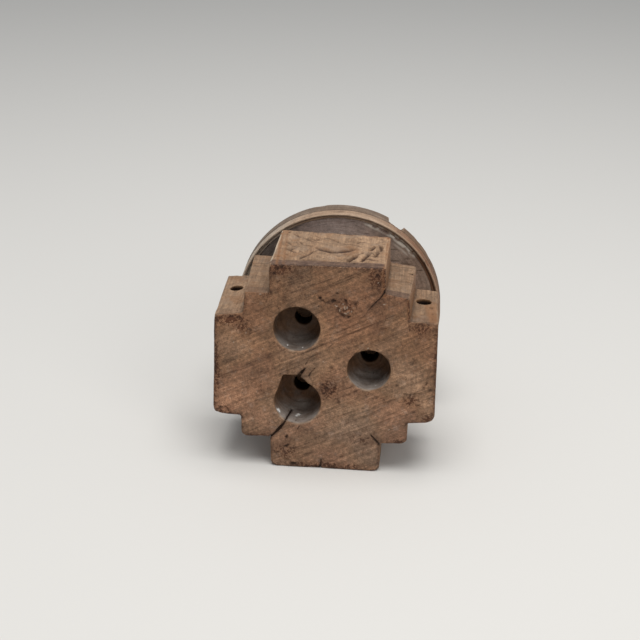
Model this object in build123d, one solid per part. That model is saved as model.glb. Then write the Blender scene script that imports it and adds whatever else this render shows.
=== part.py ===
from build123d import *
import os
from math import cos, sin, radians

# Butter mold, millimetres. +Z up, the mold lies on its bottom arm, the grip block
# faces -Y and the cup's mouth faces +Y. Origin: middle of the bounding box's floor.

total_length = 158.0              # front of the block to the mouth of the cup
y0 = -total_length / 2            # front face of the block

# axis shared by cup, ring, stem and print plate
axis_x = 1.1
axis_z = 75.6

# grip block: stepped cross, hand sawn, so its corners are a little uneven
block_depth_mid = 64.0            # front to back on the block's own middle line
back_slope = -0.08                # the back is sawn deeper on the left than on the right
# corners of the front face, (x, z), from the bottom arm's left corner round to its right
cross_front = [
    (-36.8, -0.6), (-37.2, 22.5), (-57.0, 21.8), (-57.3, 37.9), (-76.6, 38.8),
    (-75.2, 112.4), (-55.6, 114.9), (-54.6, 130.2), (-38.3, 130.1), (-38.9, 150.4),
    (38.2, 151.3), (38.5, 133.4), (54.2, 130.7), (55.2, 114.3), (74.1, 113.9),
    (75.2, 39.9), (56.8, 38.6), (57.0, 22.9), (38.6, 21.8), (38.9, -0.6),
]
# the same corners 62 mm further back: the steps were sawn by hand and splay a little
cross_back = [
    (-36.2, -0.6), (-36.6, 22.0), (-56.4, 21.4), (-56.8, 38.0), (-76.0, 38.6),
    (-75.9, 112.9), (-57.2, 114.8), (-56.6, 130.6), (-37.0, 130.6), (-37.4, 150.6),
    (39.1, 150.9), (39.4, 132.6), (57.6, 131.0), (58.0, 114.2), (73.1, 113.9),
    (74.6, 39.6), (57.4, 38.4), (57.6, 22.4), (39.4, 21.8), (39.5, -0.6),
]
splay_depth = 62.0
corner_round = 1.4                # worn outer corners
corner_round_worn = 4.0           # the most worn corner, low on the right arm

# three counterbored wells: x, z, radius, depth, then the pilot hole's x and z
wells = [
    (-19.8, 104.6, 15.7, 22.0, -17.0, 104.9),
    (29.3, 77.2, 14.6, 26.0, 28.6, 77.6),
    (-18.5, 50.2, 16.0, 31.0, -18.0, 50.6),
]
pilot_r = 6.05
# squared breakout on the lower well: corners (x, z), and how deep it goes
breakout_corners = [
    (-34.3, 50.2), (-32.2, 59.0), (-28.5, 70.5), (-18.0, 70.6), (-12.0, 65.2), (-18.5, 50.2),
]
breakout_depth = 26.0

# holes down through the two side arms: x, distance behind the front face, radius
arm_holes = [(-66.2, 46.0, 4.5), (63.8, 37.2, 5.2)]

# flange let into the back of the block, square stem, round tenon
flange_r = 45.0
flange_front = 54.0               # floor of the housing in the block's back
flange_back = 76.0
housing_gap = 0.3
stem_side = 24.0
stem_round = 1.5
tenon_r = 9.0
peg_r = 6.0
peg_end = 70.0                    # how far back the pegs reach
peg_recess = 11.0                 # peg heads below the floor of each well

# cup: floor disc, barrel with a tongue let into the floor, cavity
floor_front = 108.0
floor_back = 118.0
floor_r = 70.9
barrel_r = 58.0
mouth_bead_r = 60.2
cavity_r = 48.0
stem_hole_gap = 0.3
tongue_in, tongue_out, tongue_len = 51.0, 55.0, 3.0
tongue_gap = 0.05

# ring on the cup's floor
ring_front = 104.4
ring_back = 127.0
ring_r = 75.6
ring_seat_r = 70.95
ring_bore_r = 58.1
chip_angle = 32.2                 # from the top, toward +X
chip_length = 12.0
chip_depth = 3.8

# small pegs through the ring's back shoulder into the cup's floor
rim_peg_r = 2.5
rim_peg_hole_r = 2.53
rim_peg_circle = 63.0
rim_peg_front = 111.5
rim_peg_count = 6

# print plate
plate_r = 47.4
plate_front = 118.3
plate_back = 130.0
plate_bore_r = 9.02
carve_depth = 2.6

os.makedirs("parts", exist_ok=True)


def along_y(y, x=axis_x, z=axis_z):
    """Plane at distance y behind the block's front, local x = +X, local y = +Z,
    normal toward -Y."""
    return Plane(origin=(x, y0 + y, z), x_dir=(1, 0, 0), z_dir=(0, -1, 0))


def rod(r, y_from, y_to, x=axis_x, z=axis_z):
    """Round bar along Y."""
    return extrude(along_y(y_to, x, z) * Circle(r), amount=y_to - y_from)


def turned(profile):
    """Solid turned about the mold's axis; profile is (radius, y) pairs."""
    pts = [(axis_x + r, y0 + y, axis_z) for r, y in profile]
    face = make_face(Polyline(*pts, close=True))
    return revolve(face, axis=Axis((axis_x, 0, axis_z), (0, 1, 0)), revolution_arc=360)


# ---------------------------------------------------------------- grip block
outer = [0, 2, 4, 5, 7, 9, 10, 12, 14, 15, 17, 19]
worn_corner = 15


def cross_face(y):
    """Outline of the block at distance y behind its front, worn corners rounded."""
    t = y / splay_depth
    pts = [
        (fx + (bx - fx) * t, fz + (bz - fz) * t)
        for (fx, fz), (bx, bz) in zip(cross_front, cross_back)
    ]
    face = make_face(Polyline(*pts, close=True))

    def at(i):
        return min(
            face.vertices(), key=lambda v: (v.X - pts[i][0]) ** 2 + (v.Y - pts[i][1]) ** 2
        )

    face = fillet([at(i) for i in outer if i != worn_corner], corner_round)
    face = fillet([at(worn_corner)], corner_round_worn)
    return along_y(y, 0, 0) * face


grip = loft([cross_face(0.0), cross_face(80.0)], ruled=True)

# the bottom arm is planed flat where the mold stands on it
grip = grip - Pos(0, 0, -5) * Box(200, 300, 10)

# slanted back: everything behind the sawn plane goes
cut_w = 200.0
left_y = y0 + block_depth_mid + back_slope * (-cut_w / 2)
right_y = y0 + block_depth_mid + back_slope * (cut_w / 2)
back_cut = extrude(
    Plane.XY.offset(-5)
    * make_face(
        Polyline(
            (-cut_w / 2, left_y), (cut_w / 2, right_y), (cut_w / 2, 60), (-cut_w / 2, 60),
            close=True,
        )
    ),
    amount=170,
)
grip = grip - back_cut

for wx, wz, wr, wd, px, pz in wells:
    grip = grip - rod(wr, -1, wd, wx, wz)
    grip = grip - rod(pilot_r, wd - 1, 66, px, pz)

breakout = make_face(Polyline(*breakout_corners, close=True))
grip = grip - extrude(along_y(breakout_depth, 0, 0) * breakout, amount=breakout_depth + 1)

for hx, hy, hr in arm_holes:
    grip = grip - extrude(
        Plane(origin=(hx, y0 + hy, 30), x_dir=(1, 0, 0), z_dir=(0, 0, 1)) * Circle(hr),
        amount=95,
    )

grip = grip - rod(flange_r + housing_gap, flange_front, 80)

# ------------------------------------------------------------- plunger stem
flange = rod(flange_r, flange_front, flange_back)
flange = chamfer(flange.edges().filter_by(GeomType.CIRCLE).group_by(Axis.Y)[-1], 2.0)
shaft_face = along_y(plate_front) * RectangleRounded(stem_side, stem_side, stem_round)
shaft = extrude(shaft_face, amount=plate_front - flange_back + 2)
tenon = rod(tenon_r, plate_front - 2, plate_back)
stem = flange + shaft + tenon
for wx, wz, wr, wd, px, pz in wells:
    stem = stem - rod(pilot_r, flange_front - 1, peg_end + 0.2, px, pz)

# slot in the tenon's end and the wedge in it
slot_w_end, slot_w_in, slot_len = 3.0, 1.2, 9.0
wedge_pts = [
    (-slot_w_in / 2, plate_back - slot_len), (slot_w_in / 2, plate_back - slot_len),
    (slot_w_end / 2, plate_back), (-slot_w_end / 2, plate_back),
]
wedge_face = make_face(
    Polyline(*[(axis_x + a, y0 + b, axis_z - 7.5) for a, b in wedge_pts], close=True)
)
wedge_slot_face = make_face(
    Polyline(*[(axis_x + a, y0 + b, axis_z - 10) for a, b in wedge_pts], close=True)
)
wedge = extrude(wedge_face, amount=15.0, dir=(0, 0, 1))
slot = extrude(wedge_slot_face, amount=20.0, dir=(0, 0, 1))
stem = stem - slot

# --------------------------------------------------------------- stem pegs
pegs = []
for wx, wz, wr, wd, px, pz in wells:
    peg = rod(peg_r, wd + peg_recess, peg_end, px, pz)
    peg = chamfer(peg.edges().filter_by(GeomType.CIRCLE), 0.6)
    pegs.append(peg)
stem_pegs = Compound(children=pegs)

# ------------------------------------------------------- cup floor, barrel
cup_floor = turned([
    (0, floor_front), (floor_r, floor_front), (floor_r, floor_back), (0, floor_back),
])
cup_floor = cup_floor - (
    rod(tongue_out + tongue_gap, floor_back - tongue_len - 0.1, floor_back + 1)
    - rod(tongue_in - tongue_gap, floor_back - tongue_len - 1, floor_back + 2)
)
stem_hole = extrude(
    along_y(floor_back + 2)
    * RectangleRounded(
        stem_side + 2 * stem_hole_gap, stem_side + 2 * stem_hole_gap, stem_round
    ),
    amount=14,
)
cup_floor = cup_floor - stem_hole

barrel = turned([
    (tongue_in, floor_back - tongue_len), (tongue_out, floor_back - tongue_len),
    (tongue_out, floor_back), (barrel_r, floor_back), (barrel_r, 131.0),
    (barrel_r - 1.0, 131.8), (barrel_r - 1.0, 132.6), (barrel_r, 133.4), (barrel_r, 135.0),
    (barrel_r - 1.0, 135.8), (barrel_r - 1.0, 136.6), (barrel_r, 137.4),
    (barrel_r, 146.0), (barrel_r - 0.8, 146.8), (mouth_bead_r - 0.6, 148.2),
    (mouth_bead_r, 150.0), (mouth_bead_r, 155.6), (mouth_bead_r - 0.7, 157.2),
    (mouth_bead_r - 2.4, total_length), (cavity_r + 2.0, total_length),
    (cavity_r + 0.5, total_length - 0.6), (cavity_r, total_length - 2.2),
    (cavity_r, floor_back), (tongue_in, floor_back),
])

# --------------------------------------------------------------- rim ring
ring = turned([
    (ring_seat_r, floor_front), (73.1, floor_front), (73.5, 105.6), (74.1, 104.7),
    (74.7, ring_front), (75.3, 104.9), (ring_r, 106.0), (ring_r, 113.4),
    (75.2, 114.4), (74.6, 114.9), (74.6, 115.5), (75.2, 116.0), (ring_r, 117.0),
    (ring_r, 125.4), (75.2, 126.4), (74.2, ring_back), (ring_bore_r, ring_back),
    (ring_bore_r, floor_back + 0.02), (ring_seat_r, floor_back + 0.02),
])
chip_plane = Plane(
    origin=(
        axis_x + ring_r * sin(radians(chip_angle)),
        y0 + 120.0,
        axis_z + ring_r * cos(radians(chip_angle)),
    ),
    x_dir=(cos(radians(chip_angle)), 0, -sin(radians(chip_angle))),
    z_dir=(sin(radians(chip_angle)), 0, cos(radians(chip_angle))),
)
chip_face = make_face(
    Polyline(
        (-chip_length / 2, 8.0), (-chip_length / 2 - 0.5, -2.2), (-chip_length / 2 + 3.0, -3.0),
        (chip_length / 2 - 1.5, -3.7), (chip_length / 2, -1.4), (chip_length / 2 + 0.8, 8.0),
        close=True,
    )
)
chip = extrude(chip_plane.offset(-chip_depth) * chip_face, amount=chip_depth + 3)
ring = ring - chip

# --------------------------------------------------------------- rim pegs
rim_peg_list = []
for i in range(rim_peg_count):
    a = radians(15 + i * 360 / rim_peg_count)
    px, pz = axis_x + rim_peg_circle * cos(a), axis_z + rim_peg_circle * sin(a)
    hole = rod(rim_peg_hole_r, rim_peg_front - 0.1, ring_back + 1, px, pz)
    cup_floor = cup_floor - hole
    ring = ring - hole
    rim_peg_list.append(rod(rim_peg_r, rim_peg_front, ring_back, px, pz))
rim_pegs = Compound(children=rim_peg_list)

# ------------------------------------------------------------- print plate
plate = rod(plate_r, plate_front, plate_back)
plate = chamfer(plate.edges().filter_by(GeomType.CIRCLE).group_by(Axis.Y)[-1], 1.0)
plate = plate - rod(plate_bore_r, plate_front - 1, plate_back + 1)
# border groove
plate = plate - (
    rod(42.0, plate_back - 2.0, plate_back + 1) - rod(39.6, plate_back - 2.4, plate_back + 2)
)
# eight petals, each a lens cut
petal_len, petal_w = 24.0, 9.0
for i in range(8):
    a = i * 45.0
    lens_r = (petal_len**2 / 4 + petal_w**2 / 4) / petal_w
    off = lens_r - petal_w / 2
    mid = 24.4
    lens = Pos(mid, off) * Circle(lens_r) & Pos(mid, -off) * Circle(lens_r)
    cutter = extrude(along_y(plate_back + 1) * (Rot(0, 0, a) * lens), amount=carve_depth + 1)
    plate = plate - cutter
# small notches between the petals' tips
for i in range(8):
    a = radians(i * 45.0 + 22.5)
    plate = plate - rod(
        2.2, plate_back - 1.8, plate_back + 1,
        axis_x + 31.5 * cos(a), axis_z + 31.5 * sin(a),
    )

export_step(grip, "parts/grip_block.step")
export_step(stem, "parts/plunger_stem.step")
export_step(stem_pegs, "parts/stem_pegs.step")
export_step(plate, "parts/print_plate.step")
export_step(wedge, "parts/print_wedge.step")
export_step(cup_floor, "parts/cup_floor.step")
export_step(barrel, "parts/cup_barrel.step")
export_step(ring, "parts/rim_ring.step")
export_step(rim_pegs, "parts/rim_pegs.step")
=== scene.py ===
import math

import bmesh
import bpy
import numpy as np
from mathutils import Matrix, Vector


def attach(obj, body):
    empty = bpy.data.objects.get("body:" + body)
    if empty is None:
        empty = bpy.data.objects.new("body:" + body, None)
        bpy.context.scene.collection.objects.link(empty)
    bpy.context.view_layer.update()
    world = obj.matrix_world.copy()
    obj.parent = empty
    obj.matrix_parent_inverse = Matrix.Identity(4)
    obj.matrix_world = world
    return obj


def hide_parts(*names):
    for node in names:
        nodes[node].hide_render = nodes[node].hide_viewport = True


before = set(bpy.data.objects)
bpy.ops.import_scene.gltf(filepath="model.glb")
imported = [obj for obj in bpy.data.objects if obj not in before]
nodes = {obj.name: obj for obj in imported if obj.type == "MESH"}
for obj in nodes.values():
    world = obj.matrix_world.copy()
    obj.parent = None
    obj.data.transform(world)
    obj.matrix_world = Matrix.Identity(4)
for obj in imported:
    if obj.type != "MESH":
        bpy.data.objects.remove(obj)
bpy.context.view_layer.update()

Y0 = -79.0                      # front face of the block, mm
AX, AZ = 1.1, 75.6              # axis of the cup and stem, mm

for spare in ("Cube", "Light", "Camera"):
    if spare in bpy.data.objects:
        bpy.data.objects.remove(bpy.data.objects[spare])

# ------------------------------------------------------------------ noise
def _hash(ix, iy, iz, seed):
    h = (ix.astype(np.uint64) * np.uint64(0x9E3779B1)
         ^ iy.astype(np.uint64) * np.uint64(0x85EBCA77)
         ^ iz.astype(np.uint64) * np.uint64(0xC2B2AE3D)
         ^ np.uint64(seed * 0x27D4EB2F & 0xFFFFFFFF)) & np.uint64(0xFFFFFFFF)
    h ^= h >> np.uint64(15)
    h = h * np.uint64(0x2C1B3C6D) & np.uint64(0xFFFFFFFF)
    h ^= h >> np.uint64(12)
    h = h * np.uint64(0x297A2D39) & np.uint64(0xFFFFFFFF)
    h ^= h >> np.uint64(15)
    return h.astype(np.float64) / 2147483647.5 - 1.0


def noise(P, scale, seed=0):
    """Smooth value noise in -1..1; scale is cells per mm, one number or three."""
    Q = P * np.asarray(scale, float)
    i = np.floor(Q).astype(np.int64)
    f = Q - i
    u = f * f * (3 - 2 * f)
    out = np.zeros(len(P))
    i = i + 100000
    for dx in (0, 1):
        wx = u[:, 0] if dx else 1 - u[:, 0]
        for dy in (0, 1):
            wy = u[:, 1] if dy else 1 - u[:, 1]
            for dz in (0, 1):
                wz = u[:, 2] if dz else 1 - u[:, 2]
                out += wx * wy * wz * _hash(i[:, 0] + dx, i[:, 1] + dy, i[:, 2] + dz, seed)
    return out


def fbm(P, scale, seed=0, octaves=4, gain=0.5):
    out, amp, tot = np.zeros(len(P)), 1.0, 0.0
    s = np.asarray(scale, float)
    for k in range(octaves):
        out += amp * noise(P + 17.3 * k, s, seed + 31 * k)
        tot += amp
        amp *= gain
        s = s * 2.03
    return out / tot


def step(x, a, b):
    t = np.clip((x - a) / (b - a), 0, 1)
    return t * t * (3 - 2 * t)


def to_path(u, v, path):
    """Distance from points (u, v) to a polyline, and how far along it, 0..1."""
    path = np.asarray(path, float)
    seg = np.diff(path, axis=0)
    lens = np.hypot(seg[:, 0], seg[:, 1])
    run = np.concatenate([[0], np.cumsum(lens)])
    best = np.full(len(u), 1e9)
    along = np.zeros(len(u))
    for k, (a, d, L) in enumerate(zip(path[:-1], seg, lens)):
        t = np.clip(((u - a[0]) * d[0] + (v - a[1]) * d[1]) / (L * L), 0, 1)
        dist = np.hypot(u - a[0] - t * d[0], v - a[1] - t * d[1])
        near = dist < best
        best[near] = dist[near]
        along[near] = (run[k] + t * L)[near] / run[-1]
    return best, along


# ------------------------------------------------------------------ meshes
def copy_of(node, name):
    me = nodes[node].data.copy()
    me.name = name
    me.materials.clear()
    bm = bmesh.new()
    bm.from_mesh(me)
    bmesh.ops.remove_doubles(bm, verts=bm.verts, dist=2e-6)
    bm.to_mesh(me)
    bm.free()
    for a in [a.name for a in me.attributes if a.domain == "CORNER" and not a.is_internal and not a.is_required]:
        me.attributes.remove(me.attributes[a])
    ob = bpy.data.objects.new(name, me)
    bpy.context.scene.collection.objects.link(ob)
    return ob


def bake_modifiers(ob):
    bpy.context.view_layer.update()
    dg = bpy.context.evaluated_depsgraph_get()
    me = bpy.data.meshes.new_from_object(ob.evaluated_get(dg))
    old = ob.data
    ob.modifiers.clear()
    ob.data = me
    me.name = ob.name
    bpy.data.meshes.remove(old)


def remesh(ob, voxel_mm):
    m = ob.modifiers.new("remesh", "REMESH")
    m.mode = "VOXEL"
    m.voxel_size = voxel_mm * 0.001
    m.use_smooth_shade = True
    bake_modifiers(ob)


def points(me):
    co = np.empty(len(me.vertices) * 3)
    me.vertices.foreach_get("co", co)
    return co.reshape(-1, 3) * 1000.0


def normals(me):
    no = np.empty(len(me.vertices) * 3, np.float32)
    me.vertex_normals.foreach_get("vector", no)
    return no.reshape(-1, 3).astype(float)


def put_points(me, P):
    me.vertices.foreach_set("co", (P / 1000.0).ravel())
    me.update()


def edges_of(me):
    e = np.empty(len(me.edges) * 2, np.int32)
    me.edges.foreach_get("vertices", e)
    return e.reshape(-1, 2)


class Smoother:
    def __init__(self, me):
        e = edges_of(me)
        self.a, self.b, self.n = e[:, 0], e[:, 1], len(me.vertices)
        self.deg = np.maximum(
            np.bincount(self.a, minlength=self.n) + np.bincount(self.b, minlength=self.n), 1
        )

    def mean(self, F):
        if F.ndim == 1:
            s = np.bincount(self.a, F[self.b], self.n) + np.bincount(self.b, F[self.a], self.n)
            return s / self.deg
        return np.column_stack([self.mean(F[:, k]) for k in range(F.shape[1])])

    def run(self, F, times, rate=1.0):
        for _ in range(times):
            F = F + rate * (self.mean(F) - F)
        return F


def attribute(me, name, values):
    at = me.attributes.get(name) or me.attributes.new(name, "FLOAT", "POINT")
    at.data.foreach_set("value", np.asarray(values, np.float32))


# ------------------------------------------------------------- block detail
CROSS = [
    (-36.8, 0.0), (-37.2, 22.5), (-57.0, 21.8), (-57.3, 37.9), (-76.6, 38.8),
    (-75.2, 112.4), (-55.6, 114.9), (-54.6, 130.2), (-38.3, 130.1), (-38.9, 150.4),
    (38.2, 151.3), (38.5, 133.4), (54.2, 130.7), (55.2, 114.3), (74.1, 113.9),
    (75.2, 39.9), (56.8, 38.6), (57.0, 22.9), (38.6, 21.8), (38.9, 0.0),
]
# how dark the handled front edges are, one number per side of the cross
EDGE_DIRT = [0.8, 0.7, 0.75, 1.0, 1.0, 0.35, 0.6, 0.12, 0.7, 0.85,
             1.0, 0.45, 0.95, 0.45, 0.9, 0.7, 0.55, 0.65, 0.8, 0.95]
WELLS = [(-19.8, 104.6, 15.7, 22.0), (29.3, 77.2, 14.6, 26.0), (-18.5, 50.2, 16.0, 31.0)]
PILOTS = [
    (-19.8, 104.6, 15.7, 22.0, -17.0, 104.9), (29.3, 77.2, 14.6, 26.0, 28.6, 77.6),
    (-18.5, 50.2, 16.0, 31.0, -18.0, 50.6),
]
ARM_HOLES = [(-66.2, 46.0, 4.5), (63.8, 37.2, 5.2)]
CRACKS = [  # (x, z, width) along each drying crack, then how deep it is
    ([(-38.9, 20.2, 1.0), (-36.6, 22.9, 1.2), (-34.4, 25.2, 1.1), (-32.4, 27.2, 1.7),
      (-30.4, 29.8, 1.9), (-28.4, 32.3, 1.3), (-26.9, 35.0, 1.0), (-25.9, 38.4, 1.0)], 27.0),
    ([(-19.4, 67.6, 1.2), (-17.6, 70.4, 1.7), (-16.0, 72.8, 1.8), (-14.7, 74.6, 1.3),
      (-13.6, 76.0, 0.6)], 6.0),
    ([(38.4, 134.6, 0.75), (36.0, 131.2, 0.65), (33.6, 128.3, 0.55), (31.2, 125.6, 0.5),
      (29.2, 122.9, 0.45)], 14.0),
    ([(40.2, 19.6, 1.1), (37.6, 22.3, 1.0), (35.0, 25.1, 0.9), (32.6, 27.8, 0.6)], 12.0),
    ([(-1.6, -1.0, 0.6), (-1.9, 2.0, 0.6), (-1.8, 4.6, 0.55), (-1.5, 7.0, 0.5)], 5.0),
]
FINE = [  # hairline cracks and scores on the front: path, half width, darkness, depth
    ([(29.2, 122.9), (27.0, 120.2), (25.4, 117.2), (22.8, 114.9)], 0.45, 0.8, 0.3),
    ([(-13.4, 79.0), (-12.1, 81.5), (-9.0, 83.6), (-6.0, 84.2)], 0.5, 0.8, 0.3),
    ([(-10.9, 70.5), (-9.4, 73.8), (-7.0, 76.6)], 0.7, 0.9, 0.5),
    ([(-17.2, 31.8), (-18.8, 28.4), (-19.8, 26.0)], 0.45, 0.8, 0.3),
    ([(-15.9, 34.6), (-17.0, 31.6)], 0.4, 0.7, 0.3),
    ([(32.6, 27.8), (30.6, 30.2), (29.4, 33.0)], 0.4, 0.7, 0.2),
    ([(-3.2, 1.0), (-3.3, 6.2)], 0.35, 0.5, 0.2),
    ([(53.5, 61.0), (58.0, 60.4), (62.4, 62.2), (65.0, 61.6)], 0.8, 0.8, 0.4),
    ([(58.0, 60.4), (57.4, 56.8)], 0.6, 0.6, 0.3),
    ([(-36.9, 130.0), (-35.6, 126.4), (-34.4, 122.6), (-34.0, 120.0)], 0.4, 0.45, 0.2),
    ([(49.0, 97.0), (56.0, 101.0), (63.0, 106.5)], 0.45, 0.45, 0.2),
    ([(12.0, 106.0), (19.0, 110.0), (26.0, 112.6)], 0.5, 0.5, 0.2),
    ([(-1.0, 100.6), (7.0, 103.4), (15.0, 108.0)], 0.5, 0.55, 0.25),
    ([(2.0, 92.6), (5.0, 95.4), (9.4, 96.0)], 0.5, 0.6, 0.3),
    ([(-5.6, 128.8), (-3.8, 126.2), (-1.2, 124.7), (2.6, 124.4)], 0.7, 0.72, 0.5),
    ([(5.6, 125.4), (9.2, 125.2), (12.6, 126.6)], 0.6, 0.6, 0.3),
    ([(15.2, 126.4), (18.4, 124.4), (20.0, 121.2)], 0.6, 0.55, 0.3),
    ([(8.2, 118.0), (11.0, 115.8), (15.8, 115.7)], 0.9, 0.5, 0.5),
    ([(12.6, 123.6), (15.8, 121.2), (16.6, 118.2)], 0.5, 0.6, 0.3),
    ([(-45.0, 100.0), (-41.6, 98.2)], 0.5, 0.5, 0.2),
    ([(58.0, 88.0), (61.0, 84.0), (60.4, 80.6)], 0.6, 0.55, 0.2),
    ([(20.6, 37.4), (27.0, 39.8)], 0.45, 0.45, 0.2),
    ([(-50.6, 62.0), (-47.0, 66.4)], 0.5, 0.4, 0.2),
    ([(-12.0, 83.0), (-6.0, 87.0), (-2.0, 88.0)], 0.5, 0.6, 0.3),
]
SCORES = [  # long saw scores across the front
    ([(-39.0, 76.0), (-10.0, 89.5), (6.0, 98.2), (31.0, 111.0), (50.0, 121.0)], 0.55, 0.32),
    ([(-8.0, 91.6), (18.0, 104.0), (44.0, 116.4)], 0.5, 0.25),
    ([(10.0, 93.6), (32.0, 104.6)], 0.45, 0.2),
    ([(-12.0, 44.6), (14.0, 57.6), (31.0, 66.5)], 0.5, 0.28),
    ([(-3.0, 51.6), (17.0, 61.8)], 0.45, 0.22),
    ([(0.0, 38.0), (30.0, 49.5), (51.0, 58.0)], 0.5, 0.26),
    ([(4.0, 23.0), (38.0, 38.4), (56.0, 47.0)], 0.5, 0.26),
    ([(-45.0, 23.0), (-22.0, 33.6)], 0.45, 0.22),
    ([(-73.0, 55.0), (-52.0, 65.0), (-36.0, 70.6)], 0.5, 0.22),
    ([(-72.0, 43.0), (-50.0, 53.0)], 0.45, 0.2),
    ([(18.0, 20.0), (37.0, 28.6)], 0.45, 0.2),
    ([(-60.0, 96.0), (-44.0, 103.0)], 0.45, 0.18),
    ([(-30.0, 128.0), (-6.0, 138.0), (18.0, 147.0)], 0.45, 0.18),
    ([(-33.0, 137.0), (-8.0, 147.0)], 0.45, 0.16),
    ([(34.0, 66.0), (70.0, 83.0)], 0.45, 0.16),
    ([(38.0, 97.0), (70.0, 112.0)], 0.45, 0.16),
    ([(-28.0, 10.0), (2.0, 22.0)], 0.45, 0.18),
]
PITS = [  # x, z, half length, half width, turn in degrees, depth, darkness
    (-4.6, 128.0, 1.8, 0.9, 50, 1.0, 1.0), (-2.2, 126.4, 1.4, 0.8, -30, 0.8, 0.9),
    (0.8, 125.6, 1.2, 0.6, -20, 0.5, 0.7), (4.2, 126.6, 2.4, 1.3, 12, 1.2, 1.0),
    (6.8, 131.8, 1.0, 0.8, 70, 0.8, 0.9), (12.8, 126.6, 1.8, 1.0, -35, 0.9, 0.9),
    (19.2, 124.8, 2.0, 1.6, 80, 0.9, 0.8), (11.2, 116.4, 2.8, 1.2, -10, 0.7, 0.75),
    (14.6, 115.4, 1.6, 1.0, 20, 0.8, 0.9), (7.4, 121.4, 1.2, 0.7, 0, 0.4, 0.5),
    (16.6, 121.0, 1.0, 0.7, 60, 0.4, 0.6), (9.0, 147.8, 1.4, 0.7, 20, 0.4, 0.5),
    (-24.0, 141.0, 1.6, 0.8, 10, 0.3, 0.4), (-38.4, 82.4, 2.4, 3.1, 15, 0.35, 0.62),
    (-49.0, 78.4, 2.4, 2.0, 0, 0.2, 0.3), (-28.4, 126.0, 1.5, 3.6, 0, 0.25, 0.5),
    (59.4, 84.2, 2.0, 1.8, 0, 0.3, 0.55), (38.0, 108.2, 2.6, 1.0, 10, 0.4, 0.6),
    (68.4, 69.4, 1.8, 1.2, 40, 0.6, 0.8), (66.6, 66.6, 1.4, 1.0, -20, 0.5, 0.8),
    (70.8, 64.6, 1.6, 1.3, 70, 0.5, 0.7), (48.6, 67.2, 1.6, 1.0, 60, 0.4, 0.6),
    (63.8, 52.4, 2.0, 1.6, 30, 0.6, 0.75), (60.2, 47.6, 1.4, 0.9, 0, 0.3, 0.5),
    (9.8, 52.0, 1.3, 2.4, 10, 0.6, 0.8), (7.2, 47.6, 1.3, 0.9, 40, 0.3, 0.5),
    (1.2, 61.6, 2.2, 1.5, 30, 0.6, 0.75), (-1.6, 65.2, 1.5, 1.0, 70, 0.45, 0.6),
    (4.6, 59.6, 1.9, 1.1, 20, 0.5, 0.7), (2.6, 67.6, 1.3, 1.0, 0, 0.3, 0.5),
    (6.8, 63.8, 1.5, 0.9, 30, 0.35, 0.6), (-0.4, 57.8, 1.7, 1.0, 15, 0.4, 0.6),
    (4.6, 77.6, 2.0, 0.8, -35, 0.45, 0.7), (9.6, 76.8, 1.3, 0.8, 20, 0.4, 0.6),
    (-25.9, 23.8, 1.3, 2.0, -8, 1.0, 0.95), (-25.6, 16.0, 2.2, 1.1, 25, 0.9, 0.95),
    (-33.8, 11.2, 1.6, 0.8, -40, 0.7, 0.9), (-20.6, 2.6, 2.6, 1.5, 5, 1.0, 0.95),
    (12.6, 10.6, 1.5, 1.1, 20, 0.4, 0.6), (35.2, 57.2, 1.4, 1.0, 0, 0.3, 0.6),
    (40.2, 56.0, 1.8, 0.9, -20, 0.3, 0.6), (-8.0, 90.8, 2.0, 0.9, 30, 0.4, 0.6),
    (-44.6, 57.2, 1.4, 1.2, 0, 0.3, 0.5), (-46.4, 50.4, 1.6, 1.0, 30, 0.3, 0.5),
    (-72.0, 43.2, 1.8, 1.4, 0, 0.5, 0.8), (-66.0, 42.0, 1.2, 0.8, 0, 0.3, 0.5),
    (-69.0, 105.4, 1.3, 0.8, 20, 0.4, 0.6), (-63.4, 111.8, 2.8, 0.9, 0, 0.5, 0.7),
    (-57.4, 110.8, 2.2, 1.0, -30, 0.5, 0.8), (33.2, 145.6, 1.6, 2.0, 0, 0.6, 0.8),
    (34.8, 140.2, 1.2, 2.0, 0, 0.6, 0.8), (31.0, 147.4, 1.6, 0.9, 20, 0.4, 0.6),
    (-33.0, 147.0, 2.0, 1.1, 35, 0.5, 0.75), (-35.4, 143.4, 1.1, 1.6, 0, 0.5, 0.7),
    (-29.6, 148.2, 1.4, 0.8, 0, 0.4, 0.6), (-32.6, 137.6, 1.2, 0.8, 30, 0.3, 0.5),
    (24.4, 97.0, 1.3, 1.0, 0, 0.3, 0.4), (45.6, 91.6, 1.0, 1.6, 20, 0.2, 0.4),
]
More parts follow.
